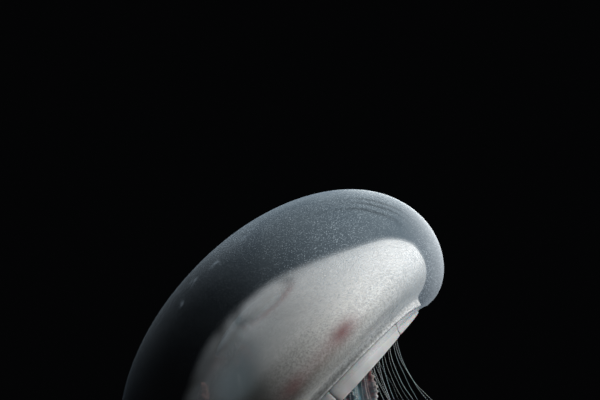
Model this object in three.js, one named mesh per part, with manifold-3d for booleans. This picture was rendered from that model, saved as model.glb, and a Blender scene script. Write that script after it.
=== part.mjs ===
// A moon jellyfish (Aurelia aurita) at life size, its bell drawn in by a swimming stroke,
// held on a plain display stand. Millimetres, +Z up. The origin is the centre of the
// underside of the stand's base, on the floor.
import * as THREE from 'three';
import { mergeVertices } from 'three/addons/utils/BufferGeometryUtils.js';
import Module from 'manifold-3d';

const wasm = await Module();
wasm.setup();

// ---- Driving dimensions ----

// Pose: the bell's axis leans from upright towards -X, and the centre of its mouth stands here.
const lean = THREE.MathUtils.degToRad(47);
const mouthCentre = new THREE.Vector3(35, 0, 142);

// Bell, in its own frame: Z is the axis, 0 is the plane of the mouth.
const bellRadius = 100;
const widestLevel = 34;
const crownRise = 66;
const crownPower = 2.045;
const shoulderInset = 27;
const shoulderDrop = 34;
const shoulderPower = 1.88;
const ceilingRadius = 85;
const ceilingFoot = 26;
const ceilingRise = 43.5;
const innerInset = 18;
const innerDrop = 18;
const innerPower = 2.2;
const rimRadius = 65.6;
const rimHeight = 2.4;
const seamGap = 0.3;

// The margin has eight lobes, parted by eight notches with a sense organ in each, and the organs
// under the bell keep in step with the notches. At the bell's two sides the margin is drawn up,
// so that more of the flap below it shows there.
const organTurn = THREE.MathUtils.degToRad(7);
const lobeCount = 8;
const lobeAngle = (2 * Math.PI) / lobeCount;
const lobeSteps = 5;
const lobeBulge = 1.2;
const lobeMean = 0.8;
const sideLift = 12;
const flapSteps = 6;
const flapInset = 0.045;
const flapEdgeLevel = 1.6;
const flapEdgeLift = 0.4;
const flapNotch = 0.8;
const flapWall = 3.8;
const organLevel = 2.8;

// Tentacles along the margin. The leading lobes hold theirs drawn in.
const tentaclesPerLobe = 6;
const tentacleRoot = 0.6;
const tentacleTip = 0.42;
const tentacleSteps = 5;
const shortestTentacle = 62;
const longestTentacle = 86;
const drawnInLobes = [0, lobeCount - 1];
const drawnInLength = 5;

// Organs under the bell's ceiling: four gonads, the mouth's tube, and four frilled arms.
const quarterTurn = Math.PI / 2;
const organGap = 0.4;
const gonadRadius = 51;
const gonadReach = 17;
const gonadOpening = 0.72;
const gonadThickness = 3;
const gonadWidth = 4.8;
const gonadFolds = 7;
const gonadSteps = 20;
const tubeTopRadius = 24;
const tubeRadius = 14;
const tubeEndLevel = 40;
const mouthRadius = 7.5;
const mouthDepth = 11;
const armRoot = 11.5;
const armGap = 2.6;
const armSpread = 20;
const armHang = 74;
const armWing = 13;
const armTipWing = 3;
const armWall = 1.7;
const armFolds = 6;
const stepsPerFold = 4;
const armPart = 0.5;
const armPartGap = 0.002;

// Stand
const baseRadius = 80;
const baseHeight = 12;
const baseBevel = 1.5;
const baseRound = 4;
const rodRadius = 4;
const rodX = -37;
const rodY = 30;
const rodFoot = 4;
const rodTop = 74;
const padRadius = 11;
const padNeck = 1.5;
const padStem = 2.5;
const padCup = 9;
const padBlank = 24;

// ---- Building closed bodies ----

// A point of the bell's own frame, from its distance to the axis, its turn and its level.
function onBell(radius, turn, level) {
  return new THREE.Vector3(radius * Math.cos(turn), radius * Math.sin(turn), level);
}

// The triangles that fill a flat ring of points, wound the way the points run.
function capFaces(ring) {
  const normal = new THREE.Vector3();
  ring.forEach((point, i) => normal.add(point.clone().cross(ring[(i + 1) % ring.length])));
  normal.normalize();
  const across = ring[0].clone().sub(ring[1]).normalize();
  const up = normal.clone().cross(across);
  const flat = ring.map((point) => new THREE.Vector2(point.dot(across), point.dot(up)));
  const areaOf = ([a, b, c]) => flat[b].clone().sub(flat[a]).cross(flat[c].clone().sub(flat[a]));
  const faces = THREE.ShapeUtils.triangulateShape(flat, []);
  return faces.map((face) => (areaOf(face) < 0 ? [...face].reverse() : face));
}

// Merges points that meet, drops the faces that vanish with them, and turns the rest outwards.
function closedBody(points, faces) {
  const geometry = new THREE.BufferGeometry().setFromPoints(points);
  geometry.setIndex(faces.flat());
  const merged = mergeVertices(geometry, 1e-4);
  const index = merged.index.array;
  const corners = merged.attributes.position;
  const kept = [];
  let volume = 0;
  const [a, b, c] = [new THREE.Vector3(), new THREE.Vector3(), new THREE.Vector3()];
  for (let i = 0; i < index.length; i += 3) {
    const [p, q, r] = [index[i], index[i + 1], index[i + 2]];
    if (p === q || q === r || r === p) {
      continue;
    }
    kept.push([p, q, r]);
    a.fromBufferAttribute(corners, p);
    b.fromBufferAttribute(corners, q);
    c.fromBufferAttribute(corners, r);
    volume += a.dot(b.cross(c));
  }
  merged.setIndex((volume < 0 ? kept.map((face) => face.reverse()) : kept).flat());
  return merged;
}

// Joins a row of rings of points into one closed body. A row that wraps meets its own start,
// and any other gets a flat cap at each end.
function loft(rings, wraps = false) {
  const size = rings[0].length;
  const faces = [];
  const bands = wraps ? rings.length : rings.length - 1;
  for (let band = 0; band < bands; band++) {
    const here = band * size;
    const next = ((band + 1) % rings.length) * size;
    for (let i = 0; i < size; i++) {
      const j = (i + 1) % size;
      faces.push([here + i, next + i, next + j], [here + i, next + j, here + j]);
    }
  }
  if (!wraps) {
    const far = (rings.length - 1) * size;
    faces.push(...capFaces(rings[0]));
    faces.push(...capFaces(rings.at(-1)).map((face) => face.map((i) => far + i).reverse()));
  }
  return closedBody(rings.flat(), faces);
}

// To the boolean library's solid, and back.
function toSolid(geometry) {
  const bare = geometry.clone().deleteAttribute('normal').deleteAttribute('uv');
  const merged = mergeVertices(bare, 1e-4);
  const vertProperties = new Float32Array(merged.attributes.position.array);
  const triVerts = new Uint32Array(merged.index.array);
  return new wasm.Manifold(new wasm.Mesh({ numProp: 3, vertProperties, triVerts }));
}

function toGeometry(solid) {
  const { vertProperties, triVerts } = solid.getMesh();
  const geometry = new THREE.BufferGeometry();
  geometry.setAttribute('position', new THREE.BufferAttribute(vertProperties, 3));
  geometry.setIndex(new THREE.BufferAttribute(triVerts, 1));
  return geometry;
}

// ---- Bell profiles: each point is [radius, level] ----

// A quarter of a superellipse, from its widest point (angle 0) to its end on the axis side.
function quarterOval(reach, rise, power, steps) {
  return Array.from({ length: steps + 1 }, (_, i) => {
    const angle = ((Math.PI / 2) * i) / steps;
    const across = i === steps ? 0 : Math.cos(angle) ** (2 / power);
    return [reach * across, rise * Math.sin(angle) ** (2 / power)];
  });
}

// The dome's outside, from the apex down to the widest ring.
function crownPoints(steps) {
  const oval = quarterOval(bellRadius, crownRise, crownPower, steps);
  return oval.map(([r, climb]) => [r, widestLevel + climb]).reverse();
}

// The underside of the jelly: a blunt cone that rounds off to an upright wall.
function ceilingLevel(radius) {
  return ceilingFoot + ceilingRise * (1 - (radius / ceilingRadius) ** 1.3) ** 0.65;
}

function ceilingPoints(steps) {
  return Array.from({ length: steps + 1 }, (_, i) => {
    const radius = ceilingRadius * Math.cos(((Math.PI / 2) * i) / steps);
    return i === steps ? [0, ceilingLevel(0)] : [radius, ceilingLevel(radius)];
  });
}

// How far the outside swells between two notches: nothing on the crown, most at the mouth.
function swell(level, turn) {
  const low = THREE.MathUtils.clamp(1 - (level - widestLevel / 3) / (1.5 * widestLevel), 0, 1);
  return lobeBulge * low * (Math.abs(Math.sin(((turn - organTurn) * lobeCount) / 2)) - lobeMean);
}

// How far the shoulder's underside is drawn up from the plane of the mouth.
function lift(turn) {
  return sideLift * Math.abs(Math.sin(turn)) ** 0.8;
}

// Places a profile at a turn, with the lobes' swelling.
function swollen(points, turn) {
  return points.map(([r, h]) => onBell(r === 0 ? 0 : r + swell(h, turn), turn, h));
}

// The outside below the widest ring, down to the lip.
function outerShoulder(turn) {
  const oval = quarterOval(shoulderInset, shoulderDrop - lift(turn), shoulderPower, 6);
  return oval.map(([r, fall]) => [bellRadius - shoulderInset + r, widestLevel - fall]);
}

// The dome above the bell's widest ring, with its hollow underside.
function makeCrown() {
  const columns = lobeCount * lobeSteps;
  const rings = Array.from({ length: columns }, (_, i) => {
    const turn = organTurn + (2 * Math.PI * i) / columns;
    return [...swollen(crownPoints(9), turn), ...ceilingPoints(6).map(([r, h]) => onBell(r, turn, h))];
  });
  return loft(rings, true).translate(0, 0, seamGap / 2);
}

// A slice through the shoulder: down the outside, round the lip, and up the inside.
function shoulderSection(turn) {
  const low = lift(turn);
  const lip = [[rimRadius + 3, low + 0.2 * rimHeight], [rimRadius, low + rimHeight]];
  const oval = quarterOval(innerInset, innerDrop - low, innerPower, 3);
  const inner = oval.map(([r, fall]) => [ceilingRadius - innerInset + r, ceilingFoot - fall]);
  const inside = [...lip, ...inner.reverse()];
  return [...swollen(outerShoulder(turn), turn), ...inside.map(([r, h]) => onBell(r, turn, h))];
}

// One lobe's stretch of the shoulder, from notch to notch.
function makeShoulder(lobe) {
  const inset = seamGap / 2 / rimRadius;
  const start = organTurn + lobe * lobeAngle + inset;
  const span = lobeAngle - 2 * inset;
  const turns = Array.from({ length: lobeSteps + 1 }, (_, i) => start + (span * i) / lobeSteps);
  return loft(turns.map(shoulderSection)).translate(0, 0, -seamGap / 2);
}

// ---- Margin: a thin flap under each lobe, rounded off beside the notches, with its tentacles ----

// The level of a flap's lower edge, which is drawn up less than the lip, and curves up towards
// the notches at its two ends.
function flapEdge(turn, share) {
  const corner = 1 - Math.sin(Math.PI * share) ** 0.35;
  return flapEdgeLevel + flapEdgeLift * lift(turn) + (flapNotch + 0.12 * lift(turn)) * corner;
}

// A slice through a flap: down its outer face from the lip, round its edge, and up its inner face.
function flapSection(turn, share) {
  const edge = flapEdge(turn, share);
  const up = lift(turn) + rimHeight;
  const section = [
    [rimRadius - 0.5, up + 0.2],
    [rimRadius - 0.6 * flapWall, edge],
    [rimRadius - 0.95 * flapWall, edge - 0.1],
    [rimRadius - 1.13 * flapWall, edge + 2],
    [rimRadius - 0.9 * flapWall, up + 3],
    [rimRadius, up + 5.4],
  ];
  return section.map(([r, h]) => onBell(r, turn, h));
}

// The turn of a place along a flap, from its first end (0) to its other (1).
function flapTurn(lobe, share) {
  return organTurn + (lobe + flapInset + (1 - 2 * flapInset) * share) * lobeAngle;
}

// World directions seen from the leaning bell: straight down, and back along the bell's own axis.
const downwards = new THREE.Vector3(0, 0, -1).applyAxisAngle(new THREE.Vector3(0, 1, 0), lean);
const backwards = new THREE.Vector3(0, 0, -1);

// Three-cornered rings that carry a tapered thread along a curve.
function threadRings(curve, steps, rootRadius, tipRadius) {
  const frames = curve.computeFrenetFrames(steps, false);
  return Array.from({ length: steps + 1 }, (_, i) => {
    const centre = curve.getPointAt(i / steps);
    const radius = rootRadius + ((tipRadius - rootRadius) * i) / steps;
    return [0, 1, 2].map((side) => {
      const angle = (side * 2 * Math.PI) / 3;
      return centre
        .clone()
        .addScaledVector(frames.normals[i], radius * Math.cos(angle))
        .addScaledVector(frames.binormals[i], radius * Math.sin(angle));
    });
  });
}

// A tentacle hangs from its root, then streams back; those on the leading side stream most.
function trailingThread(root, turn) {
  const forward = (1 + Math.cos(turn)) / 2;
  const wave = (1 + Math.sin(5 * turn)) / 2;
  const length = shortestTentacle + (longestTentacle - shortestTentacle) * wave;
  const drift = 0.1 + 0.8 * forward ** 2.5;
  const reach = (down, back) =>
    root
      .clone()
      .addScaledVector(downwards, down * length)
      .addScaledVector(backwards, back * length);
  const knee = reach(0.45 - 0.3 * drift, 0.45 * drift);
  const curve = new THREE.CubicBezierCurve3(root, reach(0.2, 0.02), knee, reach(1 - drift, drift));
  return loft(threadRings(curve, tentacleSteps, tentacleRoot, tentacleTip));
}

// A tentacle drawn in to a stub, pointing in under the bell.
function drawnInThread(root, turn) {
  const inwards = onBell(-1, turn, 0.25).normalize();
  const curve = new THREE.LineCurve3(root, root.clone().addScaledVector(inwards, drawnInLength));
  return loft(threadRings(curve, 2, tentacleRoot, tentacleTip));
}

// A flap joined with the tentacles that grow from it.
function makeFlap(lobe) {
  const easedShare = (_, i) => (1 - Math.cos((Math.PI * i) / flapSteps)) / 2;
  const shares = Array.from({ length: flapSteps + 1 }, easedShare);
  let flap = toSolid(loft(shares.map((share) => flapSection(flapTurn(lobe, share), share))));
  for (let i = 0; i < tentaclesPerLobe; i++) {
    const share = (i + 0.5) / tentaclesPerLobe;
    const turn = flapTurn(lobe, share);
    const root = onBell(rimRadius - 3, turn, flapEdge(turn, share) + 1);
    const thread = drawnInLobes.includes(lobe) ? drawnInThread(root, turn) : trailingThread(root, turn);
    flap = flap.add(toSolid(thread));
  }
  return toGeometry(flap);
}

// A small club with a round head, hanging in a notch.
function makeSenseOrgan() {
  const outline = [[0, -1.7], [1.2, -1], [1.5, 0.6], [0.8, 2.4], [0.8, 4.8], [0, 5.2]];
  const organ = new THREE.LatheGeometry(outline.map(([r, h]) => new THREE.Vector2(r, h)), 7);
  return organ.rotateX(Math.PI / 2);
}

// ---- Organs ----

// A frilled horseshoe under the ceiling, open towards the mouth's tube.
function makeGonad(middle) {
  const rings = Array.from({ length: gonadSteps + 1 }, (_, i) => {
    const sweep = (2 * i) / gonadSteps - 1;
    const angle = sweep * (Math.PI - gonadOpening);
    const folds = Math.sin(gonadFolds * angle);
    const reach = gonadReach + 0.8 * folds;
    const along = gonadRadius + reach * Math.cos(angle);
    const aside = reach * Math.sin(angle);
    const fromAxis = Math.hypot(along, aside);
    const turn = middle + Math.atan2(aside, along);
    const taper = 0.5 + 0.5 * Math.sqrt(1 - sweep ** 4);
    const thick = gonadThickness * taper * (1 + 0.12 * folds);
    const wide = gonadWidth * taper;
    const centre = onBell(fromAxis, turn, ceilingLevel(fromAxis + wide) - thick - organGap);
    const outward = onBell(1, middle + angle, 0);
    return [0, 1, 2, 3, 4].map((side) => {
      const round = (side * 2 * Math.PI) / 5 - Math.PI / 2;
      const shift = outward.clone().multiplyScalar(wide * Math.cos(round));
      return centre.clone().add(shift.setZ(thick * Math.sin(round)));
    });
  });
  return loft(rings);
}

// The mouth's tube: four-cornered, hung from the ceiling, with an open mouth at its end.
function makeMouthTube() {
  const columns = 20;
  const section = [
    [0, ceilingLevel(0) - organGap],
    [tubeTopRadius / 2, ceilingLevel(tubeTopRadius * 0.6) - organGap],
    [tubeTopRadius, ceilingLevel(tubeTopRadius * 1.2) - organGap],
    [tubeTopRadius * 0.85, tubeEndLevel + 16],
    [tubeRadius, tubeEndLevel + 8],
    [tubeRadius * 1.15, tubeEndLevel + 2],
    [tubeRadius, tubeEndLevel],
    [mouthRadius, tubeEndLevel + 1],
    [mouthRadius * 0.8, tubeEndLevel + mouthDepth - 2],
    [0, tubeEndLevel + mouthDepth],
  ];
  const rings = Array.from({ length: columns }, (_, i) => {
    const turn = (2 * Math.PI * i) / columns;
    const corner = 1 + 0.13 * Math.cos(4 * (turn - organTurn - quarterTurn / 2));
    return section.map(([r, h]) => onBell(r * corner, turn, h));
  });
  return loft(rings, true);
}

// The route of an arm: out of the mouth's corner, through the bell's mouth, then hanging down.
function armCurve(turn) {
  const outOfMouth = onBell(armSpread, turn, 2);
  const hang = (down, back) =>
    outOfMouth
      .clone()
      .addScaledVector(downwards, down * armHang)
      .addScaledVector(backwards, back * armHang);
  return new THREE.CatmullRomCurve3([
    onBell(armRoot, turn, tubeEndLevel - armGap),
    onBell(armRoot * 1.45, turn, tubeEndLevel - 14),
    outOfMouth,
    hang(0.32, 0.06),
    hang(0.66, 0.09),
    hang(1, 0.2),
  ]);
}

// A section of an arm: a folded ribbon with a thick spine and two wings whose edges ruffle.
function armSection(curve, frame, share, side) {
  const opening = 0.45 + 0.55 * THREE.MathUtils.smoothstep(share, 0, 0.18);
  const wing = opening * THREE.MathUtils.lerp(armWing, armTipWing, share ** 1.4);
  const wall = armWall * (1 - 0.45 * share);
  const centre = curve.getPointAt(share);
  const at = (across, out) =>
    centre.clone().addScaledVector(frame.across, across).addScaledVector(frame.out, out);
  const wingPoints = (hand) => {
    const ruffle = Math.sin(2 * Math.PI * armFolds * share + side + (hand * Math.PI) / 2);
    const fold = 0.75 + 0.42 * ruffle;
    const [c, s] = [Math.cos(fold), Math.sin(fold)];
    const reach = wing * (0.9 + 0.1 * ruffle);
    return [
      at(hand * reach * 0.5 * c + hand * wall * s * 0.5, reach * 0.5 * s - wall * c * 0.5),
      at(hand * reach * c + hand * 0.4 * s, reach * s - 0.4 * c),
      at(hand * reach * c - hand * 0.4 * s, reach * s + 0.4 * c),
      at(hand * reach * 0.5 * c - hand * wall * s * 0.5, reach * 0.5 * s + wall * c * 0.5),
    ];
  };
  return [at(0, -wall), ...wingPoints(1), at(0, wall), ...wingPoints(-1).reverse()];
}

// A length of an arm, between two shares of its route.
function makeArm(turn, from, to) {
  const curve = armCurve(turn);
  const outward = onBell(1, turn, 0);
  const steps = Math.round((to - from) * armFolds * stepsPerFold);
  const rings = Array.from({ length: steps + 1 }, (_, i) => {
    const share = from + ((to - from) * i) / steps;
    const along = curve.getTangentAt(share);
    const across = along.clone().cross(outward).normalize();
    const frame = { across, out: across.clone().cross(along).normalize() };
    return armSection(curve, frame, share, turn);
  });
  return loft(rings);
}

// ---- Stand ----

// A turned disc with two blind holes for the rods.
function makeBase() {
  const outline = new THREE.Path();
  outline.moveTo(0, 0);
  outline.lineTo(baseRadius - baseBevel, 0);
  outline.lineTo(baseRadius, baseBevel);
  outline.absarc(baseRadius - baseRound, baseHeight - baseRound, baseRound, 0, Math.PI / 2, false);
  outline.lineTo(0, baseHeight);
  let base = toSolid(new THREE.LatheGeometry(outline.getPoints(2), 40).rotateX(Math.PI / 2));
  for (const side of [-1, 1]) {
    const hole = new THREE.CylinderGeometry(rodRadius + seamGap, rodRadius + seamGap, baseHeight, 16);
    hole.rotateX(Math.PI / 2).translate(rodX, side * rodY, rodFoot - seamGap + baseHeight / 2);
    base = base.subtract(toSolid(hole));
  }
  return toGeometry(base);
}

// A rod, standing on its own origin.
function makeRod() {
  const length = rodTop - rodFoot;
  const rod = new THREE.CylinderGeometry(rodRadius, rodRadius, length, 16);
  return rod.rotateX(Math.PI / 2).translate(0, 0, length / 2);
}

// The bell's whole outside, grown by a little, which the pads are cut to.
function bellEnvelope() {
  const columns = lobeCount * lobeSteps;
  const rings = Array.from({ length: columns }, (_, i) => {
    const turn = organTurn + (2 * Math.PI * i) / columns;
    const skin = [...crownPoints(9), ...outerShoulder(turn).slice(1)];
    return [...swollen(skin, turn), onBell(0, 0, sideLift)];
  });
  const centre = new THREE.Vector3(0, 0, widestLevel);
  const grow = 1 + (2 * seamGap) / bellRadius;
  return loft(rings, true)
    .translate(-centre.x, -centre.y, -centre.z)
    .scale(grow, grow, grow)
    .translate(centre.x, centre.y, centre.z);
}

// A flared cup on a rod's top end, cut to the bell that lies in it.
function makePad(side) {
  const outline = new THREE.Path();
  outline.moveTo(0, 0);
  outline.lineTo(rodRadius + padNeck, 0);
  outline.lineTo(rodRadius + padNeck, padStem);
  outline.quadraticCurveTo(padRadius, padStem + padNeck, padRadius, padCup);
  outline.lineTo(padRadius, padBlank);
  outline.lineTo(0, padBlank);
  const blank = new THREE.LatheGeometry(outline.getPoints(2), 16);
  blank.rotateX(Math.PI / 2).translate(rodX, side * rodY, rodTop + seamGap);
  const bellPlace = new THREE.Matrix4().makeRotationY(-lean).setPosition(mouthCentre);
  return toGeometry(toSolid(blank).subtract(toSolid(bellEnvelope().applyMatrix4(bellPlace))));
}

// ---- Finishes ----

function finish(color, roughness, metalness = 0) {
  return new THREE.MeshStandardMaterial({ color, roughness, metalness });
}

const clearJelly = finish(0x7d8c9c, 0.35);
const rimJelly = finish(0xdfe3e4, 0.45);
const organTissue = finish(0xe6e2dc, 0.5);
const gonadTissue = finish(0x8c5a50, 0.6);
const senseTissue = finish(0x6a4a3c, 0.5);
const darkWood = finish(0x2b2320, 0.45);
const steel = finish(0xb9bcc0, 0.3, 1);
const softPad = finish(0x26282b, 0.8);

function named(name, geometry, material) {
  const mesh = new THREE.Mesh(geometry, material);
  mesh.name = name;
  return mesh;
}

// ---- The object ----

const jellyfish = new THREE.Group();

const animal = new THREE.Group();
animal.position.copy(mouthCentre);
animal.rotation.y = -lean;
jellyfish.add(animal);

animal.add(named('bell_crown', makeCrown(), clearJelly));
for (let lobe = 0; lobe < lobeCount; lobe++) {
  const number = lobe + 1;
  animal.add(named(`bell_shoulder_${number}`, makeShoulder(lobe), clearJelly));
  animal.add(named(`margin_flap_${number}`, makeFlap(lobe), rimJelly));
  const organ = named(`sense_organ_${number}`, makeSenseOrgan(), senseTissue);
  const notch = organTurn + lobe * lobeAngle;
  organ.position.copy(onBell(rimRadius - 2.6, notch, organLevel + 0.7 * lift(notch)));
  animal.add(organ);
}

animal.add(named('mouth_tube', makeMouthTube(), organTissue));
for (let i = 0; i < 4; i++) {
  const middle = organTurn + i * quarterTurn;
  const corner = middle + quarterTurn / 2;
  animal.add(named(`gonad_${i + 1}`, makeGonad(middle), gonadTissue));
  animal.add(named(`oral_arm_${i + 1}_upper`, makeArm(corner, 0, armPart - armPartGap), organTissue));
  animal.add(named(`oral_arm_${i + 1}_lower`, makeArm(corner, armPart + armPartGap, 1), organTissue));
}

jellyfish.add(named('stand_base', makeBase(), darkWood));
for (const [hand, side] of [['near', -1], ['far', 1]]) {
  const rod = named(`stand_rod_${hand}`, makeRod(), steel);
  rod.position.set(rodX, side * rodY, rodFoot);
  jellyfish.add(rod);
  jellyfish.add(named(`stand_pad_${hand}`, makePad(side), softPad));
}

export default jellyfish;
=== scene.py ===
import math

import bpy
import numpy as np
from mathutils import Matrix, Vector


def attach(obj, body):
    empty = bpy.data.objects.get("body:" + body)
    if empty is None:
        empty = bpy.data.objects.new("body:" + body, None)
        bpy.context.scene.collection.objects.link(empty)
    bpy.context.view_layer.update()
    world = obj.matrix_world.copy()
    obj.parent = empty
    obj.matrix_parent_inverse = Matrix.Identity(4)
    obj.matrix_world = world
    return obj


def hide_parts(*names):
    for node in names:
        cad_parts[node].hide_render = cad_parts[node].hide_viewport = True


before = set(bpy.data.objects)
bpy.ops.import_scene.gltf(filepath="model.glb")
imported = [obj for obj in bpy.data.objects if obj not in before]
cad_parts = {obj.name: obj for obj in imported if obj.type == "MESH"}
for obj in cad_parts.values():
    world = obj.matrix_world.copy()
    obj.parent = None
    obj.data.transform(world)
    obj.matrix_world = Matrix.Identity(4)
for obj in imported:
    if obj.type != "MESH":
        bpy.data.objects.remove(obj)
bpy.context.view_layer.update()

# %% [markdown]
# ## The bell's own frame
# A bell is round about its axis, so its shape is simplest in a frame of its own: the axis is Z, and the
# plane of the mouth is 0. The bell leans, so every shape is worked out upright, in millimetres, and
# turned into the row's frame once, at the end. Turning the finished objects instead would be shorter,
# but a pattern that reads Object coordinates would then turn with them.
# %% Sizes and the change of frame
MM = 0.001
LEAN = math.radians(47)
MOUTH = np.array([35.0, 0.0, 142.0])
FULL_TURN = 2 * np.pi
LOBES = 8
LOBE_ANGLE = FULL_TURN / LOBES
ORGAN_TURN = math.radians(7)

BELL_RADIUS, WIDEST_LEVEL, CROWN_RISE, CROWN_POWER = 100.0, 34.0, 66.0, 2.045
SHOULDER_INSET, SHOULDER_POWER = 27.0, 1.88
CEILING_RADIUS, CEILING_FOOT, CEILING_RISE = 85.0, 26.0, 43.5
INNER_INSET, INNER_DROP, INNER_POWER = 18.0, 18.0, 2.2
RIM_RADIUS, RIM_HEIGHT = 65.6, 2.4
SIDE_LIFT = 12.0

TO_ROW = np.array([
    [math.cos(LEAN), 0, -math.sin(LEAN)],
    [0, 1, 0],
    [math.sin(LEAN), 0, math.cos(LEAN)],
])


def from_bell(points):
    """Leans points of the bell's frame about Y, then moves them to the mouth's centre."""
    return points @ TO_ROW.T + MOUTH


def spun(radius, turn, level):
    """Points from their distance to the axis, their turn about it and their level, as x, y, z."""
    return np.stack(np.broadcast_arrays(radius * np.cos(turn), radius * np.sin(turn), level), axis=-1)


apex = from_bell(spun(np.array(0.0), 0.0, WIDEST_LEVEL + CROWN_RISE))

# %% [markdown]
# ## Closed skins from rings of points
# Nearly every soft piece is a row of closed rings: round a bell, along a tentacle, across an arm. One
# helper joins such rings into closed skins, with a point at each end. Many skins go into one mesh at
# once, because a fringe of separate objects would be slow to draw and to export.
# %% A helper that skins rings
MAP_MARGIN = 0.04


def face_corners(rows, points):
    """Corner numbers and map places of one skin's faces: a quad between each two neighbours on two
    neighbouring rings, and a fan of triangles from each end's pole."""
    ring, column = np.meshgrid(np.arange(rows - 1), np.arange(points), indexing="ij")
    corner_rows = np.stack([ring, ring, ring + 1, ring + 1], axis=-1).reshape(-1, 4)
    corner_columns = np.stack([column, column + 1, column + 1, column], axis=-1).reshape(-1, 4)
    quads = corner_rows * points + corner_columns % points
    quad_map = np.stack([corner_columns / points, corner_rows / (rows - 1)], axis=-1)

    here = np.arange(points)
    after = (here + 1) % points
    last = (rows - 1) * points
    pole = np.full(points, rows * points)
    first_fan = np.stack([pole, after, here], axis=1)
    last_fan = np.stack([pole + 1, last + here, last + after], axis=1)
    fans = np.concatenate([first_fan, last_fan])
    sides = np.stack([(here + 0.5) / points, (here + 1) / points, here / points], 1)
    fan_u = np.concatenate([sides, sides[:, [0, 2, 1]]])
    fan_v = np.repeat([0.0, 1.0], points)[:, None] * np.ones(3)
    return quads, fans, quad_map, np.stack([fan_u, fan_v], axis=-1)


def skin(name, rings, values=None):
    """Makes one mesh object of closed skins. rings has the shape (skins, rings, points, 3), in mm of
    the row's frame. values are named numbers per point that materials read, of a shape that spreads
    to (skins, rings, points). The first skin's volume, the sum of its faces' corner products, tells
    which way the skins face, and if it faces inwards, all of them are turned round."""
    rings = np.asarray(rings, float)
    skins, rows, points, _ = rings.shape
    quads, fans, quad_map, fan_map = face_corners(rows, points)
    poles = rings[:, [0, -1]].mean(axis=2)
    vertices = np.concatenate([rings.reshape(skins, -1, 3), poles], axis=1)

    first = vertices[0]
    halves = np.concatenate([quads[:, [0, 1, 2]], quads[:, [0, 2, 3]], fans])
    a, b, c = (first[halves[:, i]] for i in range(3))
    if np.einsum("ij,ij->i", a, np.cross(b, c)).sum() < 0:
        quads, fans, quad_map, fan_map = (part[:, ::-1] for part in (quads, fans, quad_map, fan_map))

    start = (np.arange(skins) * vertices.shape[1])[:, None, None]
    corners = np.concatenate([(quads + start).ravel(), (fans + start).ravel()])
    sizes = np.concatenate([np.full(skins * len(quads), 4), np.full(skins * len(fans), 3)])
    mesh = bpy.data.meshes.new(name)
    mesh.vertices.add(skins * vertices.shape[1])
    mesh.vertices.foreach_set("co", (vertices * MM).ravel())
    mesh.loops.add(len(corners))
    mesh.polygons.add(len(sizes))
    mesh.polygons.foreach_set("loop_start", np.cumsum(sizes) - sizes)
    mesh.loops.foreach_set("vertex_index", corners)
    mesh.update(calc_edges=True)
    mesh.shade_smooth()

    cells = math.ceil(math.sqrt(skins))
    cell = np.stack([np.arange(skins) % cells, np.arange(skins) // cells], axis=-1)[:, None, None]
    patches = [(cell + MAP_MARGIN + (1 - 2 * MAP_MARGIN) * part) / cells for part in (quad_map, fan_map)]
    flat = mesh.uv_layers.new(name="OFBake")
    flat.data.foreach_set("uv", np.concatenate([part.reshape(-1, 2) for part in patches]).ravel())
    for value_name, value in (values or {}).items():
        value = np.broadcast_to(value, rings.shape[:3])
        ends = value[:, [0, -1]].mean(axis=2)
        layer = mesh.attributes.new(value_name, "FLOAT", "POINT")
        layer.data.foreach_set("value", np.concatenate([value.reshape(skins, -1), ends], axis=1).ravel())

    piece = bpy.data.objects.new(name, mesh)
    bpy.context.scene.collection.objects.link(piece)
    print(f"{name}: {skins} skins, {len(sizes)} faces")
    return piece


def finish_piece(piece, material, slot, nodes=()):
    """Gives a piece its material and the body it rides on, hides the parts it replaces, and prints its
    slot.
    """
    piece.data.materials.append(material)
    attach(piece, "root")
    if nodes:
        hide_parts(*nodes)
    print(f"{piece.name}: finish {material.name}, slot {slot}")


sample_quads, sample_fans, _, _ = face_corners(3, 8)
print("three rings of 8 points give", len(sample_quads), "quads and", len(sample_fans), "triangles")

# %% [markdown]
# ## Camera
# The camera looks level, from near the height of the bell's top, and from far enough back for a calm
# perspective. It could stand lower and take in the stand too, but the detail is in the bell, so it
# frames the bell's upper right, and the lower left runs out of the picture.
# %% Camera
CAMERA_PLACE = (0.0169, -0.715, 0.246)
LENS_MM = 84.4

camera_data = bpy.data.cameras.new("camera")
camera_data.lens = LENS_MM
camera = bpy.data.objects.new("camera", camera_data)
camera.location = CAMERA_PLACE
camera.rotation_euler = (math.radians(90), 0, 0)
bpy.context.scene.collection.objects.link(camera)
bpy.context.scene.camera = camera
print("camera stands at", CAMERA_PLACE, "with a lens of", LENS_MM, "mm")

# %% [markdown]
# ## Materials from a few small helpers
# A procedural material is a small web of nodes. Writing each node and each link by hand buries the idea
# in code, so small helpers do it: one makes a node with its values, one wires an input, one starts a
# material with its Principled shader, and a few more do sums and blend colours.
# %% Node helpers
def set_input(tree, node, socket, value):
    """Puts a number or colour on a socket, or links another node's output to it."""
    if isinstance(value, bpy.types.NodeSocket):
        tree.links.new(value, node.inputs[socket])
    else:
        node.inputs[socket].default_value = value


def add_node(tree, kind, settings=None, **inputs):
    """Makes a node. settings are its own properties; inputs are sockets by name, with _ for a space."""
    node = tree.nodes.new(kind)
    for key, value in (settings or {}).items():
        setattr(node, key, value)
    for key, value in inputs.items():
        set_input(tree, node, key.replace("_", " "), value)
    return node


def blend_colours(tree, share, low, high):
    """The colour low where share is 0 and high where it is 1."""
    node = tree.nodes.new("ShaderNodeMix")
    node.data_type = "RGBA"
    for socket, value in ((0, share), (6, low), (7, high)):
        set_input(tree, node, socket, value)
    return node.outputs[2]


def calculate(tree, operation, *values):
    """One Math node."""
    node = tree.nodes.new("ShaderNodeMath")
    node.operation = operation
    for socket, value in enumerate(values):
        set_input(tree, node, socket, value)
    return node.outputs[0]


def multiply(tree, first, second):
    """The product of two numbers or sockets."""
    return calculate(tree, "MULTIPLY", first, second)


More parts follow.
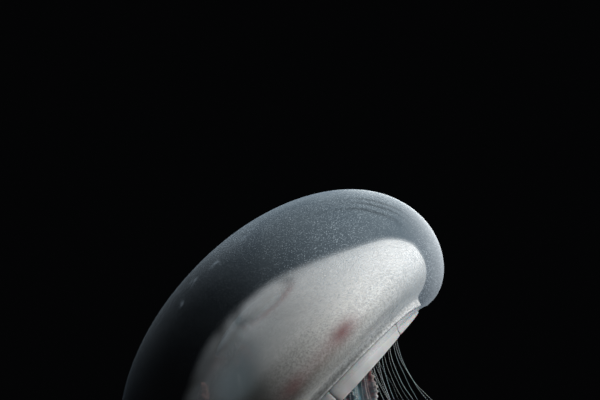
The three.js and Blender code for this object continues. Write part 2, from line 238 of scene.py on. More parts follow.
def scaled(tree, value, factor, offset):
    """The value times a factor, plus an offset."""
    return calculate(tree, "MULTIPLY_ADD", value, factor, offset)


def ramp(tree, value, low, high, to_low=0.0, to_high=1.0):
    """Carries value from the range low..high to to_low..to_high, eased at both ends and clamped."""
    settings = {"interpolation_type": "SMOOTHSTEP"}
    node = add_node(tree, "ShaderNodeMapRange", settings, Value=value, From_Min=low, From_Max=high,
                    To_Min=to_low, To_Max=to_high)
    return node.outputs["Result"]


def new_material(name, **inputs):
    """A material whose only shader is a Principled BSDF with these inputs."""
    material = bpy.data.materials.new(name)
    material.use_nodes = True
    tree = material.node_tree
    shader = tree.nodes["Principled BSDF"]
    for key, value in inputs.items():
        set_input(tree, shader, key.replace("_", " "), value)
    return material, tree, shader


def attribute(tree, name):
    """A named number that a piece's points carry."""
    return add_node(tree, "ShaderNodeAttribute", {"attribute_name": name}).outputs["Fac"]


def own_place(tree):
    """The piece's own Object coordinates, in metres."""
    return add_node(tree, "ShaderNodeTexCoord").outputs["Object"]


def front_only(tree, alpha):
    """The alpha, but nothing on a face that is seen from behind, so that a closed skin veils once."""
    back = add_node(tree, "ShaderNodeNewGeometry").outputs["Backfacing"]
    return multiply(tree, alpha, calculate(tree, "SUBTRACT", 1.0, back))


print("helpers for finishes:", [step.__name__ for step in (set_input, add_node, blend_colours, ramp)])

# %% [markdown]
# ## Two effects that many finishes share
# Living jelly is never even: its skin has fine warts that hold the stinging cells, and its depth has
# broad, soft clouds. Both show on most pieces, at other scales. They could be painted into each
# material anew, but as node groups with named inputs they are made once, and every material sets its
# own values.
# %% Shared node groups
def new_group(name, inputs, outputs):
    """An empty node group. inputs are (name, kind, default) and outputs are (name, kind)."""
    group = bpy.data.node_groups.new(name, "ShaderNodeTree")
    for socket, kind, default in inputs:
        made = group.interface.new_socket(socket, in_out="INPUT", socket_type=kind)
        if default is not None:
            made.default_value = default
    for socket, kind in outputs:
        group.interface.new_socket(socket, in_out="OUTPUT", socket_type=kind)
    return group, group.nodes.new("NodeGroupInput").outputs, group.nodes.new("NodeGroupOutput")


def make_warts_group():
    """Fine grain: small round warts from a cell pattern, roughened by noise of about the same size."""
    inputs = [("Place", "NodeSocketVector", None), ("Scale", "NodeSocketFloat", 900.0)]
    outputs = [("Warts", "NodeSocketFloat"), ("Height", "NodeSocketFloat")]
    group, given, result = new_group("warts", inputs, outputs)
    cells = add_node(group, "ShaderNodeTexVoronoi", {"feature": "F1"},
                     Vector=given["Place"], Scale=given["Scale"])
    fine = add_node(group, "ShaderNodeTexNoise", Vector=given["Place"], Scale=given["Scale"], Detail=3.0)
    dot = ramp(group, cells.outputs["Distance"], 0.15, 0.5, 1.0, 0.0)
    grain = multiply(group, dot, ramp(group, fine.outputs["Fac"], 0.35, 0.65))
    height = calculate(group, "ADD", grain, multiply(group, fine.outputs["Fac"], 0.6))
    group.links.new(grain, result.inputs["Warts"])
    group.links.new(height, result.inputs["Height"])
    return group


def make_clouds_group():
    """Broad clouds: slow noise bent by slower noise, eased to a mask from 0 to 1."""
    inputs = [
        ("Place", "NodeSocketVector", None),
        ("Scale", "NodeSocketFloat", 20.0),
        ("Softness", "NodeSocketFloat", 0.25),
    ]
    group, given, result = new_group("clouds", inputs, [("Clouds", "NodeSocketFloat")])
    noise = add_node(group, "ShaderNodeTexNoise", Vector=given["Place"], Scale=given["Scale"],
                     Detail=5.0, Roughness=0.6, Distortion=0.8)
    low = calculate(group, "SUBTRACT", 0.5, given["Softness"])
    high = calculate(group, "ADD", 0.5, given["Softness"])
    group.links.new(ramp(group, noise.outputs["Fac"], low, high), result.inputs["Clouds"])
    return group


WARTS = make_warts_group()
CLOUDS = make_clouds_group()


def use_group(tree, group, **inputs):
    """Places a node group in a material, with values of its own."""
    return add_node(tree, "ShaderNodeGroup", {"node_tree": group}, **inputs).outputs


def bump(tree, height, depth, strength):
    """A normal from a height, depth metres deep."""
    node = add_node(tree, "ShaderNodeBump", Height=height, Distance=depth, Strength=strength)
    return node.outputs["Normal"]


def add_warts(tree, shader, scale, depth, strength):
    """Gives a finish its warts: their height turns its normal. Returns the group's outputs."""
    warts = use_group(tree, WARTS, Place=own_place(tree), Scale=scale)
    set_input(tree, shader, "Normal", bump(tree, warts["Height"], depth, strength))
    return warts


def cloud_mask(tree, scale, softness):
    """Broad clouds from 0 to 1 over the piece's own place."""
    return use_group(tree, CLOUDS, Place=own_place(tree), Scale=scale, Softness=softness)["Clouds"]


def cloudy(tree, scale, softness, low, high):
    """A colour that drifts between two in broad clouds."""
    return blend_colours(tree, cloud_mask(tree, scale, softness), low, high)


print("node groups:", [group.name for group in (WARTS, CLOUDS)])

# %% [markdown]
# ## Shaping curves
# A living shape has few sharp limits, so most numbers below rise and fall gently. They could be drawn
# as lists of values, but four short formulas do it: a straight rise, an eased one, a smooth step that
# never quite ends, and a hump.
# %% Shaping functions
def share_of(value, low, high):
    """The share of the way from low to high, kept between 0 and 1."""
    return np.clip((value - low) / (high - low), 0, 1)


def eased(value, low, high):
    """The same share t, eased at both ends: t * t * (3 - 2t)."""
    share = share_of(value, low, high)
    return share**2 * (3 - 2 * share)


def crossing(value, centre, width):
    """A smooth step from 0 to 1: half of 1 plus the hyperbolic tangent of (value - centre) / width."""
    return 0.5 + 0.5 * np.tanh((value - centre) / width)


def hump(value, centre, width):
    """A smooth hump of height 1: e to the minus ((value - centre) / width) squared."""
    return np.exp(-(((value - centre) / width) ** 2))


curves = (share_of, eased, crossing, hump)
print("halfway up, the four are", [round(float(curve(0.5, 0.0, 1.0)), 3) for curve in curves])

# %% [markdown]
# ## The bell's profile
# In section a moon jellyfish is a thick lens of jelly over a hollow. It could be sculpted, but each
# stretch of its outline is near enough a quarter of a superellipse: the crown above the widest ring,
# the shoulder below it, and the hollow's wall. The shoulder's lower lip isn't level: it is drawn up at
# the two sides, where more of the margin's flap shows. Between the eight notches the outside swells a
# little.
# %% Profile functions
SINE_ROUNDING = 0.01
LIFT_POWER = 0.8
DOME_TOP, DOME_FALL = 67.0, 0.0056
SWELLING, MEAN_SWELLING = 1.2, 0.8
STRAIGHT_ROWS = 6


def eased_sine(turn, times=1.0):
    """The size of a sine, its sharp corners at zero rounded: the root of its square plus a little."""
    return np.sqrt(np.sin(turn * times) ** 2 + SINE_ROUNDING)


def lift(turn):
    """How far the lip is drawn up: the side lift times the sine of the turn to a power, from 0 to 1."""
    low, high = (end ** (LIFT_POWER / 2) for end in (SINE_ROUNDING, 1 + SINE_ROUNDING))
    return SIDE_LIFT * (eased_sine(turn) ** LIFT_POWER - low) / (high - low)


def quarter(reach, rise, power, share):
    """A quarter superellipse: reach * cos(a)^(2/p) across and rise * sin(a)^(2/p) up, a from 0 to 90."""
    angle = share * np.pi / 2
    across = np.clip(np.cos(angle), 0, 1) ** (2 / power)
    return reach * across, rise * np.sin(angle) ** (2 / power)


def ceiling_level(radius):
    """The hollow's ceiling: its foot, plus its rise times (1 - (r/R)^1.3)^0.65. Near the axis this
    runs to a peak, so a shallow dome takes its place there, falling by the radius squared."""
    vault = CEILING_FOOT + CEILING_RISE * np.clip(1 - (radius / CEILING_RADIUS) ** 1.3, 0, 1) ** 0.65
    dome = DOME_TOP - DOME_FALL * radius**2
    return dome + (vault - dome) * eased(radius, 15, 40)


def slow_waves(turn, level, count, size, seed):
    """A few seeded sine waves round and along the bell, for the unevenness of a living shape: their
    sum over the root of their count."""
    draw = np.random.default_rng(seed)
    total = np.zeros(np.broadcast(turn, level).shape)
    for _ in range(count):
        round_times = draw.integers(2, 9)
        along = draw.uniform(0.02, 0.09)
        phase = draw.uniform(0, FULL_TURN, 2)
        total += np.sin(round_times * turn + phase[0]) * np.sin(along * level + phase[1])
    return size * total / math.sqrt(count)


def swell(turn, level):
    """Bulge between notches, an eased sine less its mean: nothing on the crown, most at the mouth."""
    low = share_of(level, WIDEST_LEVEL * 11 / 6, WIDEST_LEVEL / 3)
    return SWELLING * low * (eased_sine(turn - ORGAN_TURN, LOBES / 2) - MEAN_SWELLING)


def outside(turn, crown_rows, shoulder_rows):
    """Radius and level down the bell's outside, for each turn: a quarter superellipse from near the
    apex to the widest ring, and another from there to the lip."""
    share = np.linspace(1, 0, crown_rows + 1)[1:]
    crown_radius, climb = quarter(BELL_RADIUS, CROWN_RISE, CROWN_POWER, share)
    share = np.linspace(0, 1, shoulder_rows + 1)[1:]
    across, fall = quarter(SHOULDER_INSET, 1.0, SHOULDER_POWER, share)
    fall = fall * (WIDEST_LEVEL - lift(turn))
    shoulder_radius = BELL_RADIUS - SHOULDER_INSET + across
    radius = np.concatenate([crown_radius, shoulder_radius]) * np.ones_like(turn)
    crown_level = (WIDEST_LEVEL + climb) * np.ones_like(turn)
    level = np.concatenate([crown_level, WIDEST_LEVEL - fall], axis=1)
    return radius + swell(turn, level), level


def hollow(turn, wall_rows, ceiling_rows):
    """Radius and level up the hollow: from inside the lip to the wall's foot in a straight line, up
    the wall's quarter oval, and along the ceiling to near its middle."""
    across, fall = quarter(INNER_INSET, 1.0, INNER_POWER, np.linspace(1, 0, wall_rows))
    wall_radius = CEILING_RADIUS - INNER_INSET + across
    wall_level = CEILING_FOOT - fall * (INNER_DROP - lift(turn))
    share = np.arange(STRAIGHT_ROWS) / STRAIGHT_ROWS
    start_radius, start_level = RIM_RADIUS + 0.2, RIM_HEIGHT + 0.5
    foot_radius = start_radius + share * (wall_radius[0] - start_radius)
    foot_level = lift(turn) + start_level + share * (CEILING_FOOT - INNER_DROP - start_level)
    ceiling_radius = CEILING_RADIUS * np.cos(np.linspace(0, np.pi / 2, ceiling_rows + 1)[1:-1])
    radius = np.concatenate([foot_radius, wall_radius, ceiling_radius]) * np.ones_like(turn)
    ceiling = ceiling_level(ceiling_radius) * np.ones_like(turn)
    return radius, np.concatenate([foot_level, wall_level, ceiling], axis=1)


def push_out(radius, level, distance):
    """Moves a profile's points along its own normals, to the left of the way it runs."""
    along_radius = np.gradient(radius, axis=1)
    along_level = np.gradient(level, axis=1)
    size = np.hypot(along_radius, along_level)
    return radius - distance * along_level / size, level + distance * along_radius / size


def ring_turns(columns):
    """Turns once round the bell, as a column."""
    return (FULL_TURN * np.arange(columns) / columns)[:, None]


print("lip levels round the bell, mm:", lift(ring_turns(LOBES)).round(1).ravel())

# %% [markdown]
# ## The jelly
# The bell's jelly is one soft body with no seams, so one closed skin stands in for the crown and the
# eight stretches of shoulder. It could be shown as glass, but in its own water jelly hardly bends
# light: it only veils what is behind it, a little more where it is looked at edge-on. So its finish is
# a slate-blue film, mostly see-through, with a fine grain of warts that catch the light. A few scuffs
# mark the crown, and faint creases run beside the middle where the stroke draws the bell in.
# %% Jelly skin
JELLY_COLUMNS = 360
JELLY_INSET = 0.25
SCAR_TURNS = np.radians([321, 310, 289, 272, 258, 190, 141, 96, 52, 20])
SCAR_RADII = np.array([48, 48.5, 45, 38.6, 50, 47, 38, 44, 35, 46])
SCAR_LENGTH, SCAR_WIDTH, SCAR_BEND, SCAR_LOWEST = 2.6, 1.1, 0.3, 60.0
CREASE_DEPTHS = (33, 39, 46)
CREASE_WIDTH, CREASE_LEVEL, CREASE_SPAN = 1.3, 56.0, 13.0


def scars(radius, turn, level):
    """Small scuffs round the crown: a sum of humps, each a bent and slanting streak of 2 by 5 mm."""
    x, y = radius * np.cos(turn), radius * np.sin(turn)
    total = np.zeros(x.shape)
    for scar_turn, scar_radius in zip(SCAR_TURNS, SCAR_RADII):
        aside = x - scar_radius * np.cos(scar_turn)
        ahead = y - scar_radius * np.sin(scar_turn)
        slant = scar_turn * 3
        along = aside * np.cos(slant) + ahead * np.sin(slant)
        across = ahead * np.cos(slant) - aside * np.sin(slant) - SCAR_BEND * along**2
        total += hump(along, 0, SCAR_LENGTH) * hump(across, 0, SCAR_WIDTH)
    return total * (level > SCAR_LOWEST)


def creases(radius, turn, level):
    """Faint folds on the drawn-in side: humps along curves at a fixed depth beside the bell's middle."""
    depth = np.abs(radius * np.sin(turn)) + 1.2 * np.sin(level / 7) + 0.6 * np.sin(level / 3.1)
    lines = sum(hump(depth, crease, CREASE_WIDTH) for crease in CREASE_DEPTHS)
    return lines * hump(level, CREASE_LEVEL, CREASE_SPAN) * share_of(radius * np.cos(turn), 0, 40)


def jelly_masks(radius, turn, level):
    """Numbers per point for the finish: where the veil is painted thicker on the lit side and higher up,
    so the shaded side shows darker; where it is thick; where it leads and is painted lighter, as the
    light falls there; where it is calm or over the wall; and where a scar or a crease lies. Most are
    a rise or a step along one direction."""
    ahead = radius * np.cos(turn)
    forward = math.cos(LEAN) * ahead - math.sin(LEAN) * level
    return {
        # Painted light and shade: the veil is thicker on the lit side and higher up, so the shaded side
        # shows darker.
        "lit_side": crossing(ahead + 0.35 * (level - 60), 36, 24),
        "body": np.minimum(share_of(level - lift(turn), -1, 6) + share_of(ahead, 35, 65), 1),
        # Painted light: the leading side faces the lamps, and the finish paints it lighter.
        "leading": share_of(forward, 30, 52),
        "calm": hump(level, 38, 16) * share_of(ahead, 50, 75),
        "wall": share_of(level, 75, 60),
        "scar": scars(radius, turn, level),
        "crease": creases(radius, turn, level),
    }


def make_jelly():
    """Down the outside, round the lip and up the hollow, for each turn; then rings run round the bell."""
    turn = ring_turns(JELLY_COLUMNS)
    radius, level = push_out(*outside(turn, 52, 26), -JELLY_INSET)
    radius += slow_waves(turn, level, 7, 0.25, seed=4) * share_of(radius, 0, 40)
    lip_radius = np.array([RIM_RADIUS + 3, RIM_RADIUS]) * np.ones_like(turn)
    lip_level = lift(turn) + np.array([0.2, 1.0]) * RIM_HEIGHT
    under_radius, under_level = hollow(turn, 14, 30)
    radius = np.concatenate([radius, lip_radius, under_radius], axis=1)
    level = np.concatenate([level, lip_level, under_level], axis=1)
    rings = from_bell(spun(radius, turn, level)).transpose(1, 0, 2)
    masks = jelly_masks(radius, turn, level)
    return skin("bell_jelly", rings[None], {name: value.T[None] for name, value in masks.items()})


jelly = make_jelly()

# %% Jelly finish
def jelly_material():
    """A veil whose alpha is painted higher on the lit side and higher up, so that the shaded side shows
    darker, with more where it leads or is seen edge-on. Its colour is painted lighter on the leading
    side, where the light falls. Warts roughen it, creases thin it and scars thicken it."""
    material, tree, shader = new_material("clear_jelly", Roughness=0.5, IOR=1.33, Specular_IOR_Level=0.25)
    warts = add_warts(tree, shader, 1500.0, 0.00004, 0.4)["Warts"]
    lit_side, leading = attribute(tree, "lit_side"), attribute(tree, "leading")
    body = cloudy(tree, 22.0, 0.3, (0.20, 0.28, 0.36, 1), (0.35, 0.45, 0.53, 1))
    colour = blend_colours(tree, warts, body, (0.38, 0.45, 0.50, 1))
    # Painted light: a lighter colour on the leading side, where the light falls.
    colour = blend_colours(tree, multiply(tree, leading, 0.6), colour, (0.60, 0.63, 0.66, 1))
    set_input(tree, shader, "Base Color", colour)

    facing = add_node(tree, "ShaderNodeLayerWeight", Blend=0.5).outputs["Facing"]
    rim = multiply(tree, calculate(tree, "POWER", facing, 6.0), scaled(tree, lit_side, 0.72, 0.25))
    rough = multiply(tree, warts, scaled(tree, attribute(tree, "calm"), -0.8, 1.0))
    # Painted light and shade: more veil on the lit side and on the leading side, less on the shaded side.
    veil = scaled(tree, leading, 0.15, scaled(tree, lit_side, 0.42, 0.03))
    veil = calculate(tree, "ADD", veil, rim)
    veil = multiply(tree, veil, scaled(tree, attribute(tree, "body"), 0.8, 0.2))
    veil = multiply(tree, veil, scaled(tree, rough, 1.6, 0.66))
    veil = scaled(tree, multiply(tree, rough, attribute(tree, "wall")), 0.22, veil)
    veil = multiply(tree, veil, scaled(tree, attribute(tree, "crease"), -0.55, 1.0))
    veil = scaled(tree, attribute(tree, "scar"), 0.32, veil)
    set_input(tree, shader, "Alpha", front_only(tree, veil))
    return material


shoulders = [f"bell_shoulder_{number}" for number in range(1, LOBES + 1)]
finish_piece(jelly, jelly_material(), "clear_jelly", ["bell_crown", *shoulders])

# %% [markdown]
# ## The lining of the hollow
# What glows white through the jelly is the lining of the hollow: a thin sheet of muscle and milky
# tissue. It could be a white coat on the jelly's underside, but then it would have no depth of its own,
# so it is a closed shell set into the jelly. Its upper face swells over the ring muscle and over the
# pouches of the stomach, and its bend above the lip is rounded; its lower face has the fine ridges of
# the swimming muscle.
# %% Lining shell
LINING_COLUMNS = 360
LINING_RISE, LINING_DEPTH = 0.9, 0.7
ROUNDING_PASSES = 12
MUSCLE_RADIUS = 79.0
POUCH_TURN, POUCH_PLACE, POUCH_RADIUS = math.radians(302), 27.0, 16.0
RIDGE_LEVEL = 5.4
MUSCLE_RIDGE_STEP, MUSCLE_RIDGES = 1.9, 96


def turn_from(turn, centre):
    """The signed turn from a centre, between -180 and 180 degrees."""
    return (turn - centre + np.pi) % FULL_TURN - np.pi


def pouch_rim(radius, turn):
    """The distance out from the round rim of the nearest stomach pouch, in mm. Over the pouch's inner
    half up to 3 mm are added, so that the rim fades there."""
    quarter_turn = turn_from(4 * (turn - POUCH_TURN), 0.0) / 4
    along = radius * np.cos(quarter_turn) - POUCH_PLACE
    aside = radius * np.sin(quarter_turn)
    return np.hypot(along, aside) - POUCH_RADIUS + 3 * share_of(along, 0, -POUCH_RADIUS)


def lining_relief(radius, level, turn):
    """How far the upper face rises into the jelly, in mm: an even rise, with humps along the ring
    muscle, over the four pouches and on a ridge above the lip."""
    muscle = 1.6 * hump(radius, MUSCLE_RADIUS, 10) * eased(level, 18, 38)
    pouch = 0.9 * hump(pouch_rim(radius, turn) + POUCH_RADIUS, 0, 15)
    ridge = 0.15 * hump(level - lift(turn), RIDGE_LEVEL, 1.6)
    return LINING_RISE + muscle + pouch + ridge


def lining_top(radius, level, turn):
    """The relief with a little unevenness of its own."""
    return lining_relief(radius, level, turn) + slow_waves(turn, radius, 9, 0.12, seed=11)


def rounded(rows, passes):
    """Rounds off corners: each pass blends every point half and half with its neighbours' middle."""
    for _ in range(passes):
        middle = (rows[:, :-2] + rows[:, 2:]) / 2
        rows = np.concatenate([rows[:, :1], (rows[:, 1:-1] + middle) / 2, rows[:, -1:]], axis=1)
    return rows


def lining_section():
    """Radius, level and turn of the lining: its upper face from the axis down to the lip, then its
    lower face back up, where two sine waves make the muscle's ridges."""
    turn = ring_turns(LINING_COLUMNS)
    radius, level = hollow(turn, 30, 50)
    # The profile runs from the lip up to the axis, so the jelly lies to its right.
    upper = push_out(radius, level, -lining_top(radius, level, turn))
    upper = [rounded(part, ROUNDING_PASSES) for part in upper]
    ridges = 0.12 * np.sin(radius * FULL_TURN / MUSCLE_RIDGE_STEP) + 0.10 * np.sin(MUSCLE_RIDGES * turn)
    lower = push_out(radius, level, LINING_DEPTH + ridges)
    radius, level = (np.concatenate([up[:, ::-1], low], axis=1) for up, low in zip(upper, lower))
    return radius, level, turn


radius, level, turn = lining_section()
print("the lining reaches from level", level.min().round(1), "to", level.max().round(1), "mm")

# %% [markdown]
# ## What marks the lining
# The lining is painted white on the lit, leading side and grey on the shaded, trailing one, painted
# light whitens the ring muscle on the lit side, and painted shade darkens a shallow groove above the
# margin and the folds at its foot. Brown food shows in spots along the wall, the gonad's rim is a faint
# red arc, and in one flat spot the tissue is so thin that dark water shows. These marks could be
# painted on a flat map, but humps and steps in the bell's own measures follow the shape at any size.
# %% Lining masks
GROOVE_LEVEL, GROOVE_ABOVE, GROOVE_BELOW = 11.2, 8.0, 3.0
STAIN_TURNS = np.radians([293.0, 282.0, 270.0, 214.0, 160.0, 97.0, 38.0])
STAIN_SIZES = [1.0, 0.3, 0.8, 0.8, 0.5, 0.8, 0.6]
STAIN_LEVEL, STAIN_WIDTH, STAIN_HEIGHT = 29.5, 8.5, 3.6
THIN_TURN, THIN_LEVEL = math.radians(252), 47.0


def groove_shade_mask(above_lip, level):
    """Painted shade in the groove above the margin, in the two folds at its foot and in a thin line near
    the lip, below the ceiling.
    """
    width = np.where(above_lip > GROOVE_LEVEL, GROOVE_ABOVE, GROOVE_BELOW)
    fold = share_of(above_lip, 4.2, 5.7) * share_of(above_lip, 12, 8)
    shade = 0.7 * hump(above_lip, GROOVE_LEVEL, width) + 0.35 * fold + 0.5 * hump(above_lip, 4.4, 0.5)
    return np.minimum(shade, 1) * (level < CEILING_FOOT + 2)


def stain_mask(radius, turn, level):
    """Brown spots of food along the wall, each a hump that is wider than high."""
    humps = [size * hump(turn_from(turn, centre) * radius, 0, STAIN_WIDTH)
             for centre, size in zip(STAIN_TURNS, STAIN_SIZES)]
    return sum(humps) * hump(level, STAIN_LEVEL, STAIN_HEIGHT)


def thin_spot(radius, turn, level):
    """Where the tissue is thin and dark water shows: a broad flat spot, as e to the minus fourth
    powers, with a faint hump beside it."""
    aside = turn_from(turn, THIN_TURN) * radius
    spot = np.exp(-((aside / 17) ** 4) - ((level - THIN_LEVEL) / 10) ** 4)
    return spot + 0.4 * hump(aside, 26, 16) * hump(level, THIN_LEVEL + 5, 5)


def lining_masks(radius, level, turn):
    """Numbers per point for the finish, most of them humps and steps."""
    ahead = radius * np.cos(turn)
    above_lip = level - lift(turn)
    across = ahead - 0.2 * (level - 40)
    fading = 1.10 - 0.54 * crossing(ahead, 35, 20) + 0.22 * crossing(ahead, -15, 12)
    # Painted light over the real ring muscle: a patch on the lit, leading side only, painted white and
    # without grain.
    lit_muscle_patch = hump(radius, MUSCLE_RADIUS, 15) * share_of(level, 24, 44) * share_of(ahead, 0, 40)
    return {
        # Painted shade in the groove above the margin, in the folds at its foot and in a thin line near the
        # lip.
        "groove": groove_shade_mask(above_lip, level),
        "stain": stain_mask(radius, turn, level),
        "gonad": hump(pouch_rim(radius, turn), 0, 2.6),
        "thin": thin_spot(radius, turn, level),
        # Painted light and shade: 1 on the lit, leading side, where the finish paints white, 0 on the
        # trailing one.
        "lit_side": 0.7 * crossing(across, -6, 8) + 0.3 * crossing(across, 34, 10),
        "soft": share_of(above_lip, 14, 28) * fading,
        "grain": 1 - 0.95 * lit_muscle_patch,
    }


lining_values = {name: value.T[None] for name, value in lining_masks(radius, level, turn).items()}
lining_rings = from_bell(spun(radius, turn, level)).transpose(1, 0, 2)
lining = skin("bell_lining", lining_rings[None], lining_values)
print("masks of the lining:", list(lining_values))

# %% Lining finish
WHITE_MILK = (0.95, 0.95, 0.94, 1)


def lining_material():
    """Clouds from thin to thick tissue, each painted white on the lit side and dark on the shaded one,
    then one coat over another: white warts, a white patch painted over the ring muscle on the lit side,
    dark grain, painted shade in the groove, thin spot, the gonad's broken rim and the stains. It fades
    where it is seen edge-on, so that its upper edge is soft."""
    material, tree, shader = new_material(
        "milky_lining", Roughness=0.5, Specular_IOR_Level=0.25,
        Subsurface_Weight=0.25, Subsurface_Scale=0.0025, Subsurface_Radius=(1.0, 0.9, 0.8))
    warts = add_warts(tree, shader, 1900.0, 0.0001, 0.4)["Warts"]
    clouds = cloud_mask(tree, 35.0, 0.3)
    side, even = attribute(tree, "lit_side"), attribute(tree, "grain")
    # Painted light and shade: each cloud of tissue is white on the lit side and dark on the shaded one.
    thick = blend_colours(tree, side, (0.17, 0.16, 0.14, 1), (0.91, 0.91, 0.90, 1))
    thin = blend_colours(tree, side, (0.10, 0.11, 0.11, 1), (0.74, 0.75, 0.74, 1))
    fine = add_node(tree, "ShaderNodeTexNoise",
                    Vector=own_place(tree), Scale=900.0, Detail=2.0, Roughness=0.7)
    grain = multiply(tree, ramp(tree, fine.outputs["Fac"], 0.38, 0.62), even)
    broken = scaled(tree, ramp(tree, clouds, 0.3, 0.8), 0.5, 0.75)
    coats = [
        (multiply(tree, warts, 0.5), WHITE_MILK),
        # Painted light: the white patch over the ring muscle on the lit side.
        (calculate(tree, "SUBTRACT", 1.0, even), WHITE_MILK),
        (multiply(tree, grain, 0.7), (0.22, 0.22, 0.21, 1)),
        # Painted shade in the groove and its folds.
        (multiply(tree, attribute(tree, "groove"), 0.8), (0.26, 0.25, 0.22, 1)),
        (multiply(tree, attribute(tree, "thin"), 0.85), (0.07, 0.12, 0.13, 1)),
        (multiply(tree, attribute(tree, "gonad"), broken), (0.24, 0.08, 0.06, 1)),
        (attribute(tree, "stain"), (0.19, 0.035, 0.03, 1)),
    ]
    colour = blend_colours(tree, clouds, thin, thick)
    for mask, coat in coats:
        colour = blend_colours(tree, mask, colour, coat)
    set_input(tree, shader, "Base Color", colour)
    facing = add_node(tree, "ShaderNodeLayerWeight", Blend=0.5).outputs["Facing"]
    fade = ramp(tree, multiply(tree, facing, attribute(tree, "soft")), 0.5, 0.96)
    set_input(tree, shader, "Alpha", calculate(tree, "SUBTRACT", 1.0, fade))
    return material


finish_piece(lining, lining_material(), "margin_jelly")

# %% [markdown]
# ## Milk in the jelly
# The jelly next to the lining is milky, and clears away from it, so the white has no sharp edge. A
# volume would show that best, but few programs can read one. Here eight thin films, one above another,
# each veil a little more, and clouds thin them out.
# %% Film shapes
FILMS = 8
FILM_COLUMNS = 160
FILM_STEP = 0.48
FILM_THICKNESS = 0.3
FILM_START = 11


def make_films():
    """Each film follows the lining's upper face at a distance that grows from the lip to the crown,
    and a little on the trailing side. It is a closed lens, and starts some rows above the lip."""
    turn = ring_turns(FILM_COLUMNS)
    radius, level = (part[:, FILM_START:] for part in hollow(turn, 14, 24))
    ahead = radius * np.cos(turn)
    relief = lining_relief(radius, level, turn)
    climb = share_of(level - lift(turn), 0, 55)
    spread = (0.25 + 0.75 * climb) * (1.6 - 0.6 * crossing(ahead, 0, 40))
    layers = []
    for number in range(FILMS):
        height = relief + spread * FILM_STEP * (number + 0.4)
        tops = push_out(radius, level, -height)
        unders = push_out(radius, level, FILM_THICKNESS - height)
        section = [np.concatenate([top[:, ::-1], under], axis=1) for top, under in zip(tops, unders)]
        layers.append(from_bell(spun(section[0], turn, section[1])).transpose(1, 0, 2))
    cleared = 0.8 * thin_spot(radius, turn, level) + 0.8 * hump(pouch_rim(radius, turn), 0, 3.5)
    masks = {
        "climb": climb,
        "milky": 1 - np.clip(cleared, 0, 0.9),
        # Painted shade: 1 on the lit side, falling to 0 on the trailing side, where the films are coloured
        # dark.
        "film_lit_side": crossing(ahead - 0.2 * (level - 40), -7, 6),
    }
    values = {"depth": (np.arange(FILMS) / (FILMS - 1))[:, None, None]}
    for name, mask in masks.items():
        values[name] = np.concatenate([mask[:, ::-1], mask], axis=1).T[None]
    return skin("milky_films", np.stack(layers), values)


films = make_films()

# %% Film finish
def film_material():
    """A veil, painted dark on the shaded, trailing side, that thins out with each film, with the clouds,
    near the lip, over the thin spot, and where it is seen quite flat or quite edge-on."""
    material, tree, shader = new_material("milky_film", Roughness=0.6, Specular_IOR_Level=0.1)
    depth = attribute(tree, "depth")
    colour = blend_colours(tree, depth, (0.80, 0.80, 0.78, 1), (0.56, 0.58, 0.60, 1))
    # Painted shade: a dark colour on the trailing side, away from the light.
    colour = blend_colours(tree, attribute(tree, "film_lit_side"), (0.22, 0.21, 0.19, 1), colour)
    set_input(tree, shader, "Base Color", colour)
    facing = add_node(tree, "ShaderNodeLayerWeight", Blend=0.5).outputs["Facing"]
    veil = ramp(tree, depth, 0.0, 1.0, 0.24, 0.05)
    thinnings = [
        scaled(tree, cloud_mask(tree, 28.0, 0.35), 0.5, 0.6),
        ramp(tree, attribute(tree, "climb"), 0.15, 0.45),
        attribute(tree, "milky"),
        ramp(tree, facing, 0.2, 0.75, 0.25, 1.0),
        ramp(tree, facing, 0.7, 0.98, 1.0, 0.0),
    ]
    for thinning in thinnings:
        veil = multiply(tree, veil, thinning)
    set_input(tree, shader, "Alpha", front_only(tree, veil))
    return material


finish_piece(films, film_material(), "clear_jelly")

# %% [markdown]
# ## The canals
# Fine canals run out from the stomach to a ring canal along the margin: eight straight ones, and eight
# between them that fork twice. They are thin tubes along the lining's upper face, and sink into it
# where the ceiling comes down to the wall. A texture of lines would be cheaper, but it would lie flat
# on the lining and couldn't be seen to cross above it.
# %% Tubes along paths
def tube_rings(path, radius, points, reference):
    """Rings round paths. path has the shape (tubes, steps, 3) and radius (tubes, steps). Each ring's
    plane is square to the path: one side points across the path and the reference direction."""
    along = np.gradient(path, axis=1)
    along /= np.linalg.norm(along, axis=2, keepdims=True)
    side = np.cross(along, reference)
    side /= np.linalg.norm(side, axis=2, keepdims=True)
    other = np.cross(along, side)
    angle = FULL_TURN * np.arange(points) / points
    circle = side[:, :, None] * np.cos(angle)[:, None] + other[:, :, None] * np.sin(angle)[:, None]
    return path[:, :, None] + circle * radius[:, :, None, None]


straight = np.linspace([0.0, 0.0, 0.0], [10.0, 0.0, 0.0], 3)[None]
straight_rings = tube_rings(straight, np.ones((1, 3)), 6, np.array([0.0, 0.0, 1.0]))
print("tubes, rings and points of a straight tube:", straight_rings.shape[:3])

# %% Canal tubes
CANAL_ROWS = 90
CANAL_START, CANAL_REACH = 0.28, 0.58
CANAL_RADIUS, CANAL_NARROWING, CANAL_DEPTH, CANAL_SINKING = 0.22, 0.08, 0.12, 0.3
FORKS = ((0.25, 7.5), (0.5, 3.8))


def canal_turns():
    """Start turn, end turn and the share of the way at which each canal leaves its stem."""
    rows = []
    for stem in range(2 * LOBES):
        middle = ORGAN_TURN + stem * LOBE_ANGLE / 2
        rows.append((middle, middle, 0.0))
        if stem % 2 == 0:
            for fork, spread in FORKS:
                rows.extend((middle, middle + side * math.radians(spread), fork) for side in (-1, 1))
    return np.array(rows)


